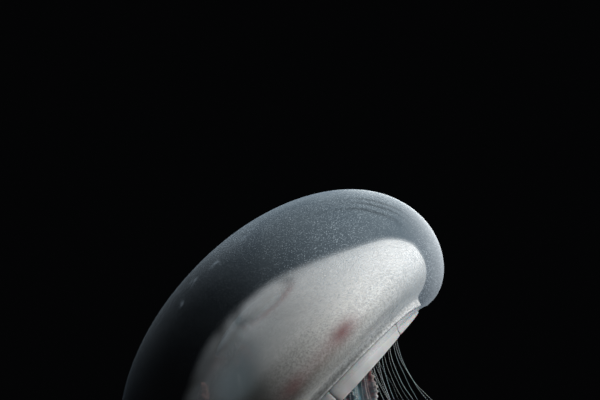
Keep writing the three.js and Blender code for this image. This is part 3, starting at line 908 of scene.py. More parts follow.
def make_canals():
    """Each canal goes out along the ceiling towards the wall, and turns aside past its fork."""
    start, end, fork = canal_turns().T[:, :, None]
    share = np.linspace(0, 1, CANAL_ROWS)
    bend = np.sin(share_of(share, fork, 1) * np.pi / 2) ** 1.2
    turn = start + (end - start) * bend + 0.006 * np.sin(share * 31 + 9 * start)
    profile_radius, profile_level = (part[:, ::-1] for part in hollow(turn[:, :1], 30, 50))
    steps = np.arange(profile_radius.shape[1])
    reach = (CANAL_START + CANAL_REACH * share) * steps[-1]
    radius = np.stack([np.interp(reach, steps, row) for row in profile_radius])
    level = np.stack([np.interp(reach, steps, row) for row in profile_level])
    sunk = share_of(level, CEILING_FOOT + 30, CEILING_FOOT + 15)
    rise = lining_top(radius, level, turn) - CANAL_DEPTH - CANAL_SINKING * sunk
    radius, level = push_out(radius, level, rise)
    path = from_bell(spun(radius, turn, level))
    width = (CANAL_RADIUS - CANAL_NARROWING * share) * np.ones_like(turn)
    outward = TO_ROW @ np.array([0.0, 0.0, 1.0])
    return skin("radial_canals", tube_rings(path, width, 6, outward))


def canal_material():
    """Milky white, a little uneven."""
    material, tree, shader = new_material("canal_wall", Roughness=0.45, Specular_IOR_Level=0.3)
    colour = cloudy(tree, 60.0, 0.3, (0.72, 0.73, 0.73, 1), (0.86, 0.86, 0.85, 1))
    set_input(tree, shader, "Base Color", colour)
    return material


finish_piece(make_canals(), canal_material(), "organ_tissue")

# %% [markdown]
# ## The margin's flap
# Below the lip hangs the velarium, a thin and very white flap, cut by eight notches into eight lobes. A
# plain ring with a bitten edge would do from afar, but close up each lobe has its own rounded ends, so
# each is a closed skin, whose ring runs down the outer face, round the thin edge and up the inner face.
# %% Margin flap
FLAP_INSET = 0.001
FLAP_ROWS, FLAP_STEPS = 72, 13
FLAP_EDGE_LEVEL, FLAP_EDGE_LIFT = 1.6, 0.4
FLAP_WALL, FLAP_THINNING = 2.4, 1.2


def flap_turn(lobe, share):
    """The turn of a place along a lobe's flap, from its first end (0) to its other (1)."""
    return ORGAN_TURN + (lobe + FLAP_INSET + (1 - 2 * FLAP_INSET) * share) * LOBE_ANGLE


def flap_edge(turn, share):
    """Level of the flap's edge: low in the middle of a lobe, and a trace higher at its two ends."""
    corner = 1 - np.sin(np.pi * share) ** 0.35
    return FLAP_EDGE_LEVEL + FLAP_EDGE_LIFT * lift(turn) + (0.1 + 0.03 * lift(turn)) * corner


def flap_share(rows):
    """Places along a flap, closer together towards its ends: half of 1 minus a cosine, kept off 0 and 1."""
    return (1 - np.cos(np.pi * np.arange(rows) / (rows - 1))) / 2 * 0.996 + 0.002


def make_flap():
    """The middle line leans in by a sine to the power 1.5. The wall thins towards the edge, and to
    nothing at the lobe's ends by the root of 1 - x^30, where x runs from -1 to 1 along the lobe."""
    share = flap_share(FLAP_ROWS)[None, :, None]
    lobe = np.arange(LOBES)[:, None, None]
    turn = flap_turn(lobe, share)
    down = np.linspace(0, 1, FLAP_STEPS)
    top = lift(turn) + RIM_HEIGHT + 0.4
    edge = flap_edge(turn, share)
    level = top + (edge - top) * down
    half = 0.5 * (FLAP_WALL - FLAP_THINNING * down) * np.sqrt(1 - (2 * share - 1) ** 30)
    ruffle = 0.15 * down**2 * np.sin(share * 31 + lobe * 2.1)
    middle = RIM_RADIUS - 0.9 - 2.2 * np.sin(down * np.pi / 2) ** 1.5 + ruffle
    tip = edge - 0.45 * half[..., -1:]
    radius = np.concatenate([middle + half, middle[..., -1:], (middle - half)[..., ::-1]], axis=2)
    level = np.concatenate([level, tip, level[..., ::-1]], axis=2)
    return skin("margin_flap", from_bell(spun(radius, turn, level)))


def flap_material():
    """White, slightly clouded tissue that lets some light through."""
    material, tree, shader = new_material(
        "margin_flap", Roughness=0.42, Specular_IOR_Level=0.35,
        Subsurface_Weight=0.4, Subsurface_Scale=0.003)
    add_warts(tree, shader, 1300.0, 0.0001, 0.3)
    colour = cloudy(tree, 90.0, 0.4, (0.45, 0.46, 0.47, 1), (0.52, 0.52, 0.51, 1))
    set_input(tree, shader, "Base Color", colour)
    return material


flaps = [f"margin_flap_{number}" for number in range(1, LOBES + 1)]
finish_piece(make_flap(), flap_material(), "margin_jelly", flaps)

# %% [markdown]
# ## Tentacles
# The margin carries a fringe of fine tentacles. The two leading lobes hold theirs drawn in to stubs; all
# others hang from the flap's edge and then stream back with the stroke. Hair particles would be quick
# to set up, but they don't reach an export, so each tentacle is a thin tapered tube along a cubic
# curve, worked out for the whole fringe at once. Its rings of stinging cells are pale dots in the
# finish, because as shapes they would be finer than a hair.
# %% Tentacle paths
TENTACLE_STEPS = 90
TENTACLES_PER_LOBE = 19
TENTACLE_LENGTH, LENGTH_WAVE = 62.0, 24.0
DOWN = np.array([0.0, 0.0, -1.0])
BACK = TO_ROW @ DOWN
# Axis, size in mm and number of radians along the tentacle, for the waves that curl it.
CURLS = ((1, 2.2, 5.5), (1, 0.5, 21), (0, 1.5, 6.5), (0, 0.4, 24))


def fringe_roots(lobes, count, draw):
    """Turns and root places of tentacles along some lobes' edges: even steps, each with some chance."""
    lobe = np.repeat(lobes, count)
    number = np.tile(np.arange(count), len(lobes))
    share = 0.03 + 0.94 * (number + draw.uniform(0.05, 0.95, len(number))) / count
    turn = flap_turn(lobe, share)
    return turn, from_bell(spun(RIM_RADIUS - 3.0, turn, flap_edge(turn, share) + 0.5))


def hung(start, length, down, back):
    """A place that hangs below a start and lies back along the bell's axis, as shares of a length."""
    return start + (np.multiply.outer(down * length, DOWN) + np.multiply.outer(back * length, BACK))


def cubic(points, share):
    """A cubic Bezier curve from the first of four points to the last, drawn towards the other two."""
    t = share[None, :, None]
    a, b, c, d = (row[:, None] for row in points)
    return (1 - t) ** 3 * a + 3 * (1 - t) ** 2 * t * b + 3 * (1 - t) * t**2 * c + t**3 * d


def tentacle_paths(turn, root, draw):
    """Out of the root, down, then back along the bell's axis: further back on the leading side. Sine
    waves curl it, more and more towards the tip."""
    count = len(turn)
    forward = (1 + np.cos(turn)) / 2
    wave = (1 + np.sin(5 * turn)) / 2
    length = (TENTACLE_LENGTH + LENGTH_WAVE * wave) * draw.uniform(0.72, 1.08, count)
    drift = np.clip(0.1 + 0.8 * forward**2.5 + draw.normal(0, 0.06, count), 0.02, 0.85)
    knots = [
        root,
        hung(root, length, 0.2, 0.02),
        hung(root, length, 0.45 - 0.3 * drift, 0.45 * drift),
        hung(root, length, 1 - drift, drift),
    ]
    share = np.linspace(0, 1, TENTACLE_STEPS)
    path = cubic(knots, share)
    phase = draw.uniform(0, FULL_TURN, (count, len(CURLS), 1))
    for number, (axis, size, times) in enumerate(CURLS):
        path[..., axis] += size * share**1.4 * np.sin(share * times + phase[:, number])
    return path, share


print("a tentacle is", TENTACLE_LENGTH, "to", TENTACLE_LENGTH + LENGTH_WAVE, "mm long, before chance")

# %% Tentacle fringe
SIDES = {"near": (4, 5, 6), "far": (1, 2, 3)}
LEADING_LOBES = (0, LOBES - 1)
ROOT_RADIUS, TAPER, STUB_RADIUS = 0.13, 0.07, 0.42
DOT_RADIANS = 330.0


def make_tentacles(name, lobes, seed):
    """Tubes along the paths of some lobes, each with its own thickness and its own shade."""
    draw = np.random.default_rng(seed)
    turn, root = fringe_roots(lobes, TENTACLES_PER_LOBE, draw)
    path, share = tentacle_paths(turn, root, draw)
    radius = draw.uniform(0.6, 1.4, (len(turn), 1)) * (ROOT_RADIUS - TAPER * share**0.7)
    rings = tube_rings(path, radius, 5, np.array([0.0, 1.0, 0.0]))
    shade = draw.uniform(0, 1, len(turn))[:, None, None]
    return skin(name, rings, {"along": share[None, :, None], "shade": shade})


def make_stubs():
    """Short drawn-in tentacles along the two leading lobes, pointing in under the bell."""
    draw = np.random.default_rng(23)
    turn, root = fringe_roots(LEADING_LOBES, TENTACLES_PER_LOBE, draw)
    share = np.linspace(0, 1, 10)
    inward = spun(-1.0, turn, 0.25) @ TO_ROW.T
    length = draw.uniform(2.0, 4.5, len(turn))[:, None, None]
    path = root[:, None] + inward[:, None] * length * share[None, :, None]
    radius = STUB_RADIUS * np.sqrt(1 - 0.85 * share) * np.ones((len(turn), 1))
    rings = tube_rings(path, radius, 6, np.array([0.2, 1.0, 0.1]))
    return skin("drawn_in_tentacles", rings, {"along": np.zeros(1), "shade": np.full(1, 0.5)})


def tentacle_material():
    """Clear threads with a pale dot of stinging cells every millimetre or so, and rosy at the root."""
    material, tree, shader = new_material("tentacle", Roughness=0.35, Specular_IOR_Level=0.4)
    along = attribute(tree, "along")
    dots = ramp(tree, calculate(tree, "SINE", multiply(tree, along, DOT_RADIANS)), -0.7, 0.5)
    pale = blend_colours(tree, attribute(tree, "shade"), (0.50, 0.62, 0.66, 1), (0.94, 0.94, 0.92, 1))
    tinted = blend_colours(tree, ramp(tree, along, 0.0, 0.3, 0.3, 0.0), pale, (0.62, 0.50, 0.46, 1))
    set_input(tree, shader, "Base Color", blend_colours(tree, dots, (0.05, 0.12, 0.14, 1), tinted))
    set_input(tree, shader, "Alpha", scaled(tree, dots, 0.55, 0.45))
    return material


tentacle_finish = tentacle_material()
for side, lobes in SIDES.items():
    finish_piece(make_tentacles(f"tentacles_{side}", lobes, 31 + lobes[0]), tentacle_finish, "margin_jelly")
finish_piece(make_stubs(), tentacle_finish, "margin_jelly")

# %% [markdown]
# ## Sense organs
# In each notch hangs a rhopalium, a small club with a dark, heavy tip that tells the animal which way
# is up. Eight spheres on stalks would do from afar; here all eight are one turned outline, copied
# round the margin as arrays.
# %% Sense organs
ORGAN_ROWS, ORGAN_POINTS = 26, 16
ORGAN_OUTLINE = np.array([
    [0.3, -1.7], [1.1, -1.1], [1.45, 0.0], [1.2, 1.3],
    [0.75, 2.4], [0.7, 3.6], [0.8, 4.8], [0.3, 5.2],
])


def make_sense_organs():
    """A club, tip first: its radius and level are read along straight lines between a few points."""
    share = np.linspace(0, 1, ORGAN_ROWS)
    steps = np.linspace(0, 1, len(ORGAN_OUTLINE))
    club_radius, club_level = (np.interp(share, steps, column)[:, None] for column in ORGAN_OUTLINE.T)
    club = spun(club_radius, ring_turns(ORGAN_POINTS).T, club_level)
    turn = ORGAN_TURN + np.arange(LOBES) * LOBE_ANGLE
    place = spun(RIM_RADIUS - 3.6, turn, 2.8 + 0.7 * lift(turn))
    rings = from_bell(club[None] + place[:, None, None])
    return skin("sense_organs", rings, {"along": share[None, :, None]})


def sense_material():
    """A dark brown tip that turns pale towards the stalk."""
    material, tree, shader = new_material("sense_tissue", Roughness=0.35, Specular_IOR_Level=0.4)
    dark = cloudy(tree, 500.0, 0.3, (0.14, 0.07, 0.05, 1), (0.26, 0.14, 0.09, 1))
    stalk = ramp(tree, attribute(tree, "along"), 0.18, 0.42)
    set_input(tree, shader, "Base Color", blend_colours(tree, stalk, dark, (0.66, 0.60, 0.54, 1)))
    return material


organs = [f"sense_organ_{number}" for number in range(1, LOBES + 1)]
finish_piece(make_sense_organs(), sense_material(), "sense_tissue", organs)

# %% [markdown]
# ## Gonads
# Four horseshoes of frilled, reddish tissue lie in the floor of the stomach and show from below. A
# plain ring with a wrinkled finish would look like a washer, so each is a tube whose middle line is an
# open circle, bent again and again into small frills.
# %% Gonads
GONADS = 4
GONAD_ROWS, GONAD_POINTS = 200, 18
GONAD_RADIUS, GONAD_REACH, GONAD_OPENING = 51.0, 17.0, 0.72
GONAD_THICK, GONAD_WIDE = 3.0, 4.4


def make_gonads():
    """Centre at the horseshoe's radius plus waves; the section is an oval whose size waves too."""
    middle = (ORGAN_TURN + np.arange(GONADS) * FULL_TURN / GONADS)[:, None, None]
    sweep = np.linspace(-1, 1, GONAD_ROWS)[None, :, None]
    angle = sweep * (np.pi - GONAD_OPENING)
    frill = np.sin(34 * angle + 2 * np.sin(5 * angle + middle))
    reach = GONAD_REACH + 0.8 * np.sin(7 * angle) + 0.9 * frill
    along = GONAD_RADIUS + reach * np.cos(angle)
    aside = reach * np.sin(angle)
    from_axis = np.hypot(along, aside)
    turn = middle + np.arctan2(aside, along)
    taper = 0.35 + 0.65 * np.sqrt(np.clip(1 - sweep**4, 0, 1))
    around = ring_turns(GONAD_POINTS).T
    side_frill = 1 + 0.16 * np.sin(3 * around + 17 * angle) + 0.10 * np.sin(5 * around - 29 * angle)
    thick = GONAD_THICK * taper * side_frill
    wide = GONAD_WIDE * taper * side_frill
    ceiling = ceiling_level(from_axis + GONAD_WIDE * taper)
    level = ceiling - GONAD_THICK * taper - 0.2 + thick * np.sin(around)
    outward = middle + angle
    x = from_axis * np.cos(turn) + wide * np.cos(around) * np.cos(outward)
    y = from_axis * np.sin(turn) + wide * np.cos(around) * np.sin(outward)
    rings = from_bell(np.stack(np.broadcast_arrays(x, y, level), axis=-1))
    return skin("gonads", rings, {"fold": 0.5 + 0.5 * frill})


def gonad_material():
    """Clouds of deep and lighter red, paler on the crests of the frills."""
    material, tree, shader = new_material(
        "gonad_tissue", Roughness=0.4, Specular_IOR_Level=0.45,
        Subsurface_Weight=0.2, Subsurface_Scale=0.002)
    add_warts(tree, shader, 1500.0, 0.0003, 0.5)
    deep = cloudy(tree, 110.0, 0.3, (0.30, 0.11, 0.10, 1), (0.52, 0.25, 0.22, 1))
    crest = multiply(tree, attribute(tree, "fold"), 0.5)
    set_input(tree, shader, "Base Color", blend_colours(tree, crest, deep, (0.72, 0.48, 0.42, 1)))
    return material


gonads = [f"gonad_{number}" for number in range(1, GONADS + 1)]
finish_piece(make_gonads(), gonad_material(), "gonad_tissue", gonads)

# %% [markdown]
# ## The mouth's tube
# The mouth hangs from the middle of the ceiling as a four-cornered tube with a pleated wall. It could be
# modelled by hand from a cylinder, but it is nearly a turned shape, so it is turned from an outline of a
# few points, whose radius grows a little towards the four corners.
# %% Mouth tube
TUBE_TOP, TUBE_RADIUS, TUBE_END = 24.0, 14.0, 40.0
MOUTH_RADIUS, MOUTH_DEPTH = 7.5, 11.0
TUBE_ROWS, TUBE_POINTS = 90, 128


def smooth_through(points, share):
    """A smooth curve through a few points (Catmull-Rom), read at shares of its length in steps."""
    points = np.asarray(points, float)
    padded = np.concatenate([2 * points[:1] - points[1:2], points, 2 * points[-1:] - points[-2:-1]])
    place = np.clip(share, 0, 1) * (len(points) - 1)
    step = np.minimum(place.astype(int), len(points) - 2)
    t = (place - step)[:, None]
    a, b, c, d = (padded[step + i] for i in range(4))
    return 0.5 * (2 * b + (c - a) * t + (2 * a - 5 * b + 4 * c - d) * t**2 + (3 * b - a - 3 * c + d) * t**3)


def make_mouth_tube():
    """A turned outline whose radius is larger towards its four corners, with a soft pleating."""
    outline = [
        [1.0, ceiling_level(0.0)],
        [0.5 * TUBE_TOP, ceiling_level(0.6 * TUBE_TOP)],
        [TUBE_TOP, ceiling_level(1.2 * TUBE_TOP)],
        [0.85 * TUBE_TOP, TUBE_END + 16],
        [TUBE_RADIUS, TUBE_END + 8],
        [1.15 * TUBE_RADIUS, TUBE_END + 2],
        [TUBE_RADIUS, TUBE_END],
        [MOUTH_RADIUS, TUBE_END + 1],
        [0.8 * MOUTH_RADIUS, TUBE_END + MOUTH_DEPTH - 2],
        [0.5, TUBE_END + MOUTH_DEPTH],
    ]
    radius, level = smooth_through(outline, np.linspace(0, 1, TUBE_ROWS)).T[:, :, None]
    turn = ring_turns(TUBE_POINTS).T
    corners = 0.13 * np.cos(4 * (turn - ORGAN_TURN - np.pi / 4))
    pleats = 0.02 * np.cos(24 * turn) + 0.012 * np.cos(52 * turn)
    rings = from_bell(spun(radius * (1 + corners + pleats), turn, level))
    return skin("mouth_tube_skin", rings[None], {"edge": np.zeros(1)})


def arm_material():
    """Blue-green and half clear, with pale frilled edges. The mouth's tube has it too."""
    material, tree, shader = new_material(
        "arm_tissue", Roughness=0.4, Specular_IOR_Level=0.4, Subsurface_Weight=0.25, Subsurface_Scale=0.003)
    add_warts(tree, shader, 1200.0, 0.0002, 0.4)
    body = cloudy(tree, 70.0, 0.3, (0.10, 0.22, 0.26, 1), (0.28, 0.43, 0.48, 1))
    frill = ramp(tree, attribute(tree, "edge"), 0.8, 1.0)
    set_input(tree, shader, "Base Color", blend_colours(tree, frill, body, (0.74, 0.79, 0.81, 1)))
    set_input(tree, shader, "Alpha", scaled(tree, frill, 0.3, 0.6))
    return material


arm_finish = arm_material()
finish_piece(make_mouth_tube(), arm_finish, "organ_tissue", ["mouth_tube"])

# %% [markdown]
# ## The oral arms
# Each corner of the mouth runs on as an oral arm: a folded ribbon with a firm spine and two thin wings
# that ruffle more and more towards their edges. A flat ribbon with a wavy texture would look flat from
# the side, so the ruffles are in the surface: waves of three lengths whose height grows from the spine
# to the edge.
# %% Oral arms
ARMS = 4
ARM_ROOT, ARM_SPREAD, ARM_HANG = 11.5, 20.0, 74.0
ARM_WING, ARM_TIP_WING = 13.0, 3.0
ARM_WALL, WING_WALL = 1.7, 0.45
ARM_FOLDS, FRILLS, FINE_FRILLS, EDGE_FRILLS = 6, 19, 43, 71
ARM_ROWS, ARM_ACROSS = 300, 15


def arm_path(turn, share):
    """Out of the mouth's corner, through the bell's mouth, then hanging down and a little back."""
    start = from_bell(spun(ARM_SPREAD, turn, 2.0))
    hanging = [hung(start, ARM_HANG, down, back) for down, back in ((0.32, 0.06), (0.66, 0.09), (1, 0.2))]
    root = from_bell(spun(ARM_ROOT, turn, TUBE_END + 1.0))
    below_mouth = from_bell(spun(ARM_ROOT * 1.45, turn, TUBE_END - 14))
    return smooth_through([root, below_mouth, start, *hanging], share)


def square_frame(path, outward):
    """Directions across a path and out of it. As cross products, both are square to the way it runs."""
    along = np.gradient(path, axis=0)
    along /= np.linalg.norm(along, axis=1, keepdims=True)
    across = np.cross(along, outward)
    across /= np.linalg.norm(across, axis=1, keepdims=True)
    return across, np.cross(across, along)


def wing_line(turn, share, draw):
    """The ribbon's middle line in each slice, across and out, and how near its points are to an edge.
    Both wings fold up from the spine by an angle that waves, and frills stand square to them."""
    side = np.linspace(-1, 1, 2 * ARM_ACROSS + 1)[None]
    size, hand = np.abs(side), np.sign(side)
    opening = 0.35 + 0.65 * eased(share, 0, 0.16)
    wing = opening * (ARM_WING + (ARM_TIP_WING - ARM_WING) * share**1.4)
    phase = draw.uniform(0, FULL_TURN, 4)
    ruffle = np.sin(FULL_TURN * ARM_FOLDS * share + turn + hand * np.pi / 2)
    fold = 0.75 + 0.42 * ruffle * size
    coarse = 1.3 * np.sin(FULL_TURN * FRILLS * share + 1.5 * hand + phase[0])
    fine = 0.7 * np.sin(FULL_TURN * FINE_FRILLS * share + phase[1] - hand)
    frill = size**2.2 * np.clip(wing / 6, 0.3, 1) * (coarse + fine)
    reach = wing * size * (0.92 + 0.08 * ruffle)
    reach = reach + 0.5 * size**3 * np.sin(FULL_TURN * EDGE_FRILLS * share + phase[2])
    across = hand * (reach * np.cos(fold) - frill * np.sin(fold))
    out = reach * np.sin(fold) + frill * np.cos(fold)
    return across, out, size


def make_arm_rings(turn, seed):
    """Rings across the arm: out along one face from wing edge to wing edge, and back along the other.
    The wall is thick at the spine by a hump, and thins along the arm."""
    share = np.linspace(0, 1, ARM_ROWS)
    path = arm_path(turn, share)
    across, out = square_frame(path, TO_ROW @ np.array([math.cos(turn), math.sin(turn), 0]))
    share = share[:, None]
    x, y, size = wing_line(turn, share, np.random.default_rng(seed))
    wall = 0.5 * (WING_WALL + (ARM_WALL - WING_WALL) * hump(size, 0, 0.22)) * (1 - 0.3 * share)
    slope_x, slope_y = np.gradient(x, axis=1), np.gradient(y, axis=1)
    steep = np.hypot(slope_x, slope_y) + 1e-9
    shift_x, shift_y = wall * slope_y / steep, wall * slope_x / steep
    x = np.concatenate([x - shift_x, (x + shift_x)[:, ::-1]], axis=1)
    y = np.concatenate([y + shift_y, (y - shift_y)[:, ::-1]], axis=1)
    rings = path[:, None] + across[:, None] * x[..., None] + out[:, None] * y[..., None]
    return rings, np.concatenate([size, size[:, ::-1]], axis=1) * np.ones_like(share)


def make_oral_arms():
    """Four arms, one from each corner of the mouth, each with frills of its own."""
    turns = ORGAN_TURN + np.pi / 4 + np.arange(ARMS) * np.pi / 2
    arms = [make_arm_rings(turn, 60 + number) for number, turn in enumerate(turns)]
    rings, edge = (np.stack(part) for part in zip(*arms))
    return skin("oral_arms", rings, {"edge": edge})


arm_nodes = [f"oral_arm_{number}_{part}" for number in range(1, ARMS + 1) for part in ("upper", "lower")]
finish_piece(make_oral_arms(), arm_finish, "organ_tissue", arm_nodes)

# %% [markdown]
# ## The stand
# The live animal swims, so a plain stand holds the model: a turned and stained wooden base, two steel
# rods, and two soft cups that follow the bell. The solids could be bevelled by a modifier, but turning
# each again from its outline gives clean round edges at the same size. Where a cup meets the bell, its
# top follows the bell's own formula, found by halving the distance again and again.
# %% Base and rods
BASE_RADIUS, BASE_HEIGHT, BASE_BEVEL, BASE_ROUND = 80.0, 12.0, 1.5, 4.0
GROOVE_INSET, GROOVE_RADIUS = 11.0, 1.0
ROD_X, ROD_Y, ROD_RADIUS, ROD_TOP, ROD_FOOT, ROD_EDGE = -37.0, 30.0, 4.0, 74.0, 4.0, 0.5


def turned(outline, columns):
    """Rings of an outline of radius and level, turned about Z."""
    radius, level = np.asarray(outline, float).T[:, :, None]
    return spun(radius, ring_turns(columns).T, level)


def arc(radius, level, size, start, end, steps):
    """Points on a circle's arc, from one angle to another in degrees."""
    angle = np.radians(np.linspace(start, end, steps))
    return np.stack([radius + size * np.cos(angle), level + size * np.sin(angle)], axis=1)


def make_base():
    """A disc with a thin bevel below, a rounded upper edge and a small groove in its top."""
    foot = BASE_RADIUS - BASE_BEVEL
    outline = np.concatenate([
        [[1.0, 0.0], [foot - 0.4, 0.0], [foot, 0.05]],
        [[BASE_RADIUS - 0.05, BASE_BEVEL - 0.05], [BASE_RADIUS, BASE_BEVEL + 0.3]],
        arc(BASE_RADIUS - BASE_ROUND, BASE_HEIGHT - BASE_ROUND, BASE_ROUND, 0, 90, 14),
        arc(BASE_RADIUS - GROOVE_INSET, BASE_HEIGHT + 0.25, GROOVE_RADIUS, 345, 195, 9),
        [[1.0, BASE_HEIGHT]],
    ])
    return skin("stand_base_turned", turned(outline, 160)[None])


def make_rods():
    """Two rods with bevelled ends. Each starts inside the base, at the bottom of its hole."""
    length, inner = ROD_TOP - ROD_FOOT, ROD_RADIUS - ROD_EDGE
    lower = [[ROD_EDGE, 0], [inner, 0], [ROD_RADIUS, ROD_EDGE], [ROD_RADIUS, length / 2]]
    upper = [[ROD_RADIUS, length - ROD_EDGE], [inner, length], [ROD_EDGE, length]]
    rod = turned(lower + upper, 48)
    return skin("stand_rods", np.stack([rod + [ROD_X, side * ROD_Y, ROD_FOOT] for side in (-1, 1)]))


print("the rods rise from", ROD_FOOT, "to", ROD_TOP, "mm in a base", BASE_HEIGHT, "mm high")

# %% Cups under the bell
PAD_RADIUS, CUP_GAP, CUP_BRIM = 11.0, 0.3, 0.5
PAD_SIDE = np.array([
    [1.0, 0.3], [5.0, 0.3], [5.5, 0.8], [5.5, 2.8],
    [7.4, 3.6], [9.6, 5.2], [PAD_RADIUS, 9.0],
])
PAD_SHARES = np.array([1.0, 0.97, 0.85, 0.6, 0.3, 0.06])
PAD_COLUMNS, HALVINGS, SEARCH = 72, 30, 30.0


def inside_bell(point):
    """True where a point of the row's frame lies inside the bell: where the powers of a superellipse,
    of the share across and the share up or down, add up to less than 1."""
    x, y, level = ((point - MOUTH) @ TO_ROW).T
    radius, turn = np.hypot(x, y), np.arctan2(y, x)
    rise = (np.abs(level - WIDEST_LEVEL) / CROWN_RISE) ** CROWN_POWER
    crown = (radius / BELL_RADIUS) ** CROWN_POWER + rise < 1
    across = (np.clip(radius - BELL_RADIUS + SHOULDER_INSET, 0, None) / SHOULDER_INSET) ** SHOULDER_POWER
    fall = (np.abs(WIDEST_LEVEL - level) / (WIDEST_LEVEL - lift(turn))) ** SHOULDER_POWER
    return np.where(level > WIDEST_LEVEL, crown, across + fall < 1).T


def bell_height(x, y):
    """Where upright lines meet the bell from below: the stretch above the rod's top that holds the
    bell's surface is halved again and again."""
    low = np.full(x.shape, ROD_TOP)
    high = np.full(x.shape, ROD_TOP + SEARCH)
    for _ in range(HALVINGS):
        middle = (low + high) / 2
        within = inside_bell(np.stack([x, y, middle], axis=-1).reshape(-1, 3)).reshape(x.shape)
        low, high = np.where(within, low, middle), np.where(within, middle, high)
    return low


def make_pads():
    """A turned stem and flared side, then rings that lie along the bell, a small gap below it."""
    turn = ring_turns(PAD_COLUMNS).T
    cups = []
    for hand in (-1, 1):
        stem = spun(PAD_SIDE[:, :1], turn, ROD_TOP + PAD_SIDE[:, 1:])
        top = spun(PAD_RADIUS * PAD_SHARES[:, None], turn, 0.0)
        top[..., 2] = bell_height(ROD_X + top[..., 0], hand * ROD_Y + top[..., 1]) - CUP_GAP
        top[0, :, 2] -= CUP_BRIM
        cups.append(np.concatenate([stem, top]) + [ROD_X, hand * ROD_Y, 0])
    return skin("stand_pads", np.stack(cups))


print("the bell is", bell_height(np.array(ROD_X), np.array(ROD_Y)).round(1), "mm up above a rod")

# %% [markdown]
# ## Wood, steel and soft pads
# The base is dark stained wood, with yearly rings that wander and fine pores along the grain; the rods
# are brushed steel, and the pads are matt black. A picture of wood would be quick, but it shows its
# edges on a turned shape. Streaks are made instead from noise that is squeezed along one direction, and
# as wood and steel both have them, they are a node group.
# %% Stand finishes
def make_fibres_group():
    """Long fine streaks: noise in a place that the material has squeezed along one direction."""
    inputs = [("Place", "NodeSocketVector", None), ("Scale", "NodeSocketFloat", 400.0)]
    group, given, result = new_group("fibres", inputs, [("Streaks", "NodeSocketFloat")])
    noise = add_node(group, "ShaderNodeTexNoise",
                     Vector=given["Place"], Scale=given["Scale"], Detail=6.0, Roughness=0.65)
    group.links.new(ramp(group, noise.outputs["Fac"], 0.3, 0.7), result.inputs["Streaks"])
    return group


FIBRES = make_fibres_group()


def squeezed(tree, scale):
    """The piece's own place, scaled by three numbers, so that a pattern stretches."""
    return add_node(tree, "ShaderNodeMapping", Vector=own_place(tree), Scale=scale).outputs["Vector"]


def add_streaks(tree, shader, stretch, scale, roughness, depth, strength):
    """Gives a finish its streaks: they change its roughness and its normal. Returns their mask."""
    streaks = use_group(tree, FIBRES, Place=squeezed(tree, stretch), Scale=scale)["Streaks"]
    set_input(tree, shader, "Roughness", ramp(tree, streaks, 0.0, 1.0, *roughness))
    set_input(tree, shader, "Normal", bump(tree, streaks, depth, strength))
    return streaks


def wood_material():
    """Dark brown rings, deeper in some clouds than in others, with near-black pores and a thin coat."""
    material, tree, shader = new_material("dark_wood", Coat_Weight=0.25, Coat_Roughness=0.25)
    pores = add_streaks(tree, shader, (1.0, 0.05, 1.0), 900.0, (0.38, 0.55), 0.00012, 0.5)
    tint = use_group(tree, CLOUDS, Place=squeezed(tree, (3.0, 0.6, 3.0)), Scale=6.0, Softness=0.5)["Clouds"]
    rings = add_node(tree, "ShaderNodeTexWave", {"bands_direction": "X", "wave_profile": "SAW"},
                     Vector=squeezed(tree, (1.0, 0.08, 1.0)), Scale=30.0, Distortion=2.5, Detail=3.0,
                     Detail_Scale=1.2).outputs["Fac"]
    tone = multiply(tree, rings, scaled(tree, tint, 0.5, 0.5))
    colour = blend_colours(tree, tone, (0.030, 0.019, 0.013, 1), (0.105, 0.058, 0.034, 1))
    colour = blend_colours(tree, multiply(tree, pores, 0.45), colour, (0.014, 0.009, 0.007, 1))
    set_input(tree, shader, "Base Color", colour)
    return material


def steel_material():
    """Bright metal, brushed along the rod."""
    material, tree, shader = new_material("steel_rod", Metallic=1.0)
    streaks = add_streaks(tree, shader, (1.0, 1.0, 0.02), 2600.0, (0.22, 0.36), 0.00003, 0.4)
    set_input(tree, shader, "Base Color",
              blend_colours(tree, streaks, (0.55, 0.56, 0.58, 1), (0.74, 0.75, 0.77, 1)))
    return material


def pad_material():
    """Matt black, with a fine grain."""
    material, tree, shader = new_material("soft_pad", Specular_IOR_Level=0.3)
    warts = add_warts(tree, shader, 1800.0, 0.00006, 0.5)["Warts"]
    colour = cloudy(tree, 60.0, 0.4, (0.016, 0.018, 0.020, 1), (0.030, 0.032, 0.035, 1))
    set_input(tree, shader, "Base Color", colour)
    set_input(tree, shader, "Roughness", ramp(tree, warts, 0.0, 1.0, 0.6, 0.8))
    return material


finish_piece(make_base(), wood_material(), "dark_wood", ["stand_base"])
finish_piece(make_rods(), steel_material(), "steel_rod", ["stand_rod_near", "stand_rod_far"])
finish_piece(make_pads(), pad_material(), "soft_pad", ["stand_pad_near", "stand_pad_far"])

# %% [markdown]
# ## Floor
# The model stands on a plain pale disc. An endless plane would do as well, but a disc has an edge that
# fades into the dark, so the floor needs no wall behind it.
# %% Floor
FLOOR_RADIUS, FLOOR_TOP, FLOOR_THICKNESS = 750.0, -0.1, 4.0


def make_floor():
    """A flat disc a little under the base: its lower edge, its upper edge and a small middle ring."""
    radius = np.array([[FLOOR_RADIUS], [FLOOR_RADIUS], [1.0]])
    level = np.array([[FLOOR_TOP - FLOOR_THICKNESS], [FLOOR_TOP], [FLOOR_TOP]])
    return skin("floor", spun(radius, ring_turns(96).T, level)[None])


def floor_material():
    """Pale grey with faint clouds."""
    material, tree, shader = new_material("pale_floor", Roughness=0.7)
    colour = cloudy(tree, 6.0, 0.4, (0.50, 0.50, 0.50, 1), (0.54, 0.54, 0.54, 1))
    set_input(tree, shader, "Base Color", colour)
    return material


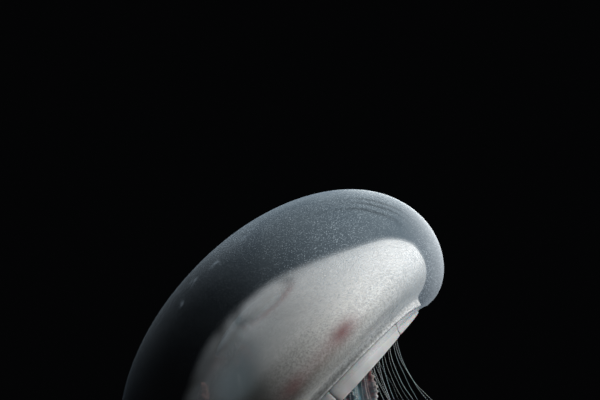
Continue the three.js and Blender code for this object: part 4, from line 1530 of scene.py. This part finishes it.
floor = make_floor()
floor.data.materials.append(floor_material())

# %% [markdown]
# ## Light and surroundings
# A soft key lamp shines from the upper right, a little from the front, and lights the milky lining
# through the jelly. A weaker one, low at the right, lights the margin and the groove above it. Two
# broad lamps stand behind: the cool one draws the jelly's outline on the left, and the other lights the
# far side. A bright sky would be simpler, but the surroundings stay almost black, because a veil of
# jelly only shows its own colour against the dark.
# %% Lamps and world
BELL_MIDDLE = (0.0, 0.0, 0.17)
MOUTH_SIDE = (0.058, -0.03, 0.19)
NEUTRAL, COOL, BLUE = (1.0, 0.99, 0.97), (0.94, 0.97, 1.0), (0.75, 0.88, 1.0)
SURROUNDINGS = (0.0012, 0.0013, 0.0015, 1)
CLEAR_LAYERS = 96


def add_lamp(name, place, aim, width, spread, power, colour):
    """A square soft lamp at a place, turned to shine at another."""
    data = bpy.data.lights.new(name, "AREA")
    data.size = width
    data.spread = math.radians(spread)
    data.energy = power
    data.color = colour
    lamp = bpy.data.objects.new(name, data)
    lamp.location = place
    shine = Vector(aim) - Vector(place)
    lamp.rotation_euler = shine.to_track_quat("-Z", "Y").to_euler()
    lamp.visible_camera = False
    bpy.context.scene.collection.objects.link(lamp)
    print(f"lamp {name}: {power} W, {width} m wide")


add_lamp("key", (0.27, -0.20, 0.66), MOUTH_SIDE, width=0.12, spread=48, power=0.27, colour=NEUTRAL)
add_lamp("side", (0.52, -0.06, 0.08), MOUTH_SIDE, width=0.10, spread=60, power=0.15, colour=COOL)
add_lamp("back", (-0.45, 0.65, 0.45), BELL_MIDDLE, width=0.50, spread=80, power=0.6, colour=BLUE)
add_lamp("far", (0.30, 0.80, 0.50), BELL_MIDDLE, width=0.50, spread=80, power=0.9, colour=NEUTRAL)

world = bpy.data.worlds.new("dark")
world.use_nodes = True
world.node_tree.nodes["Background"].inputs["Color"].default_value = SURROUNDINGS
scene = bpy.context.scene
scene.world = world
scene.view_settings.view_transform = "Standard"
scene.cycles.transparent_max_bounces = CLEAR_LAYERS
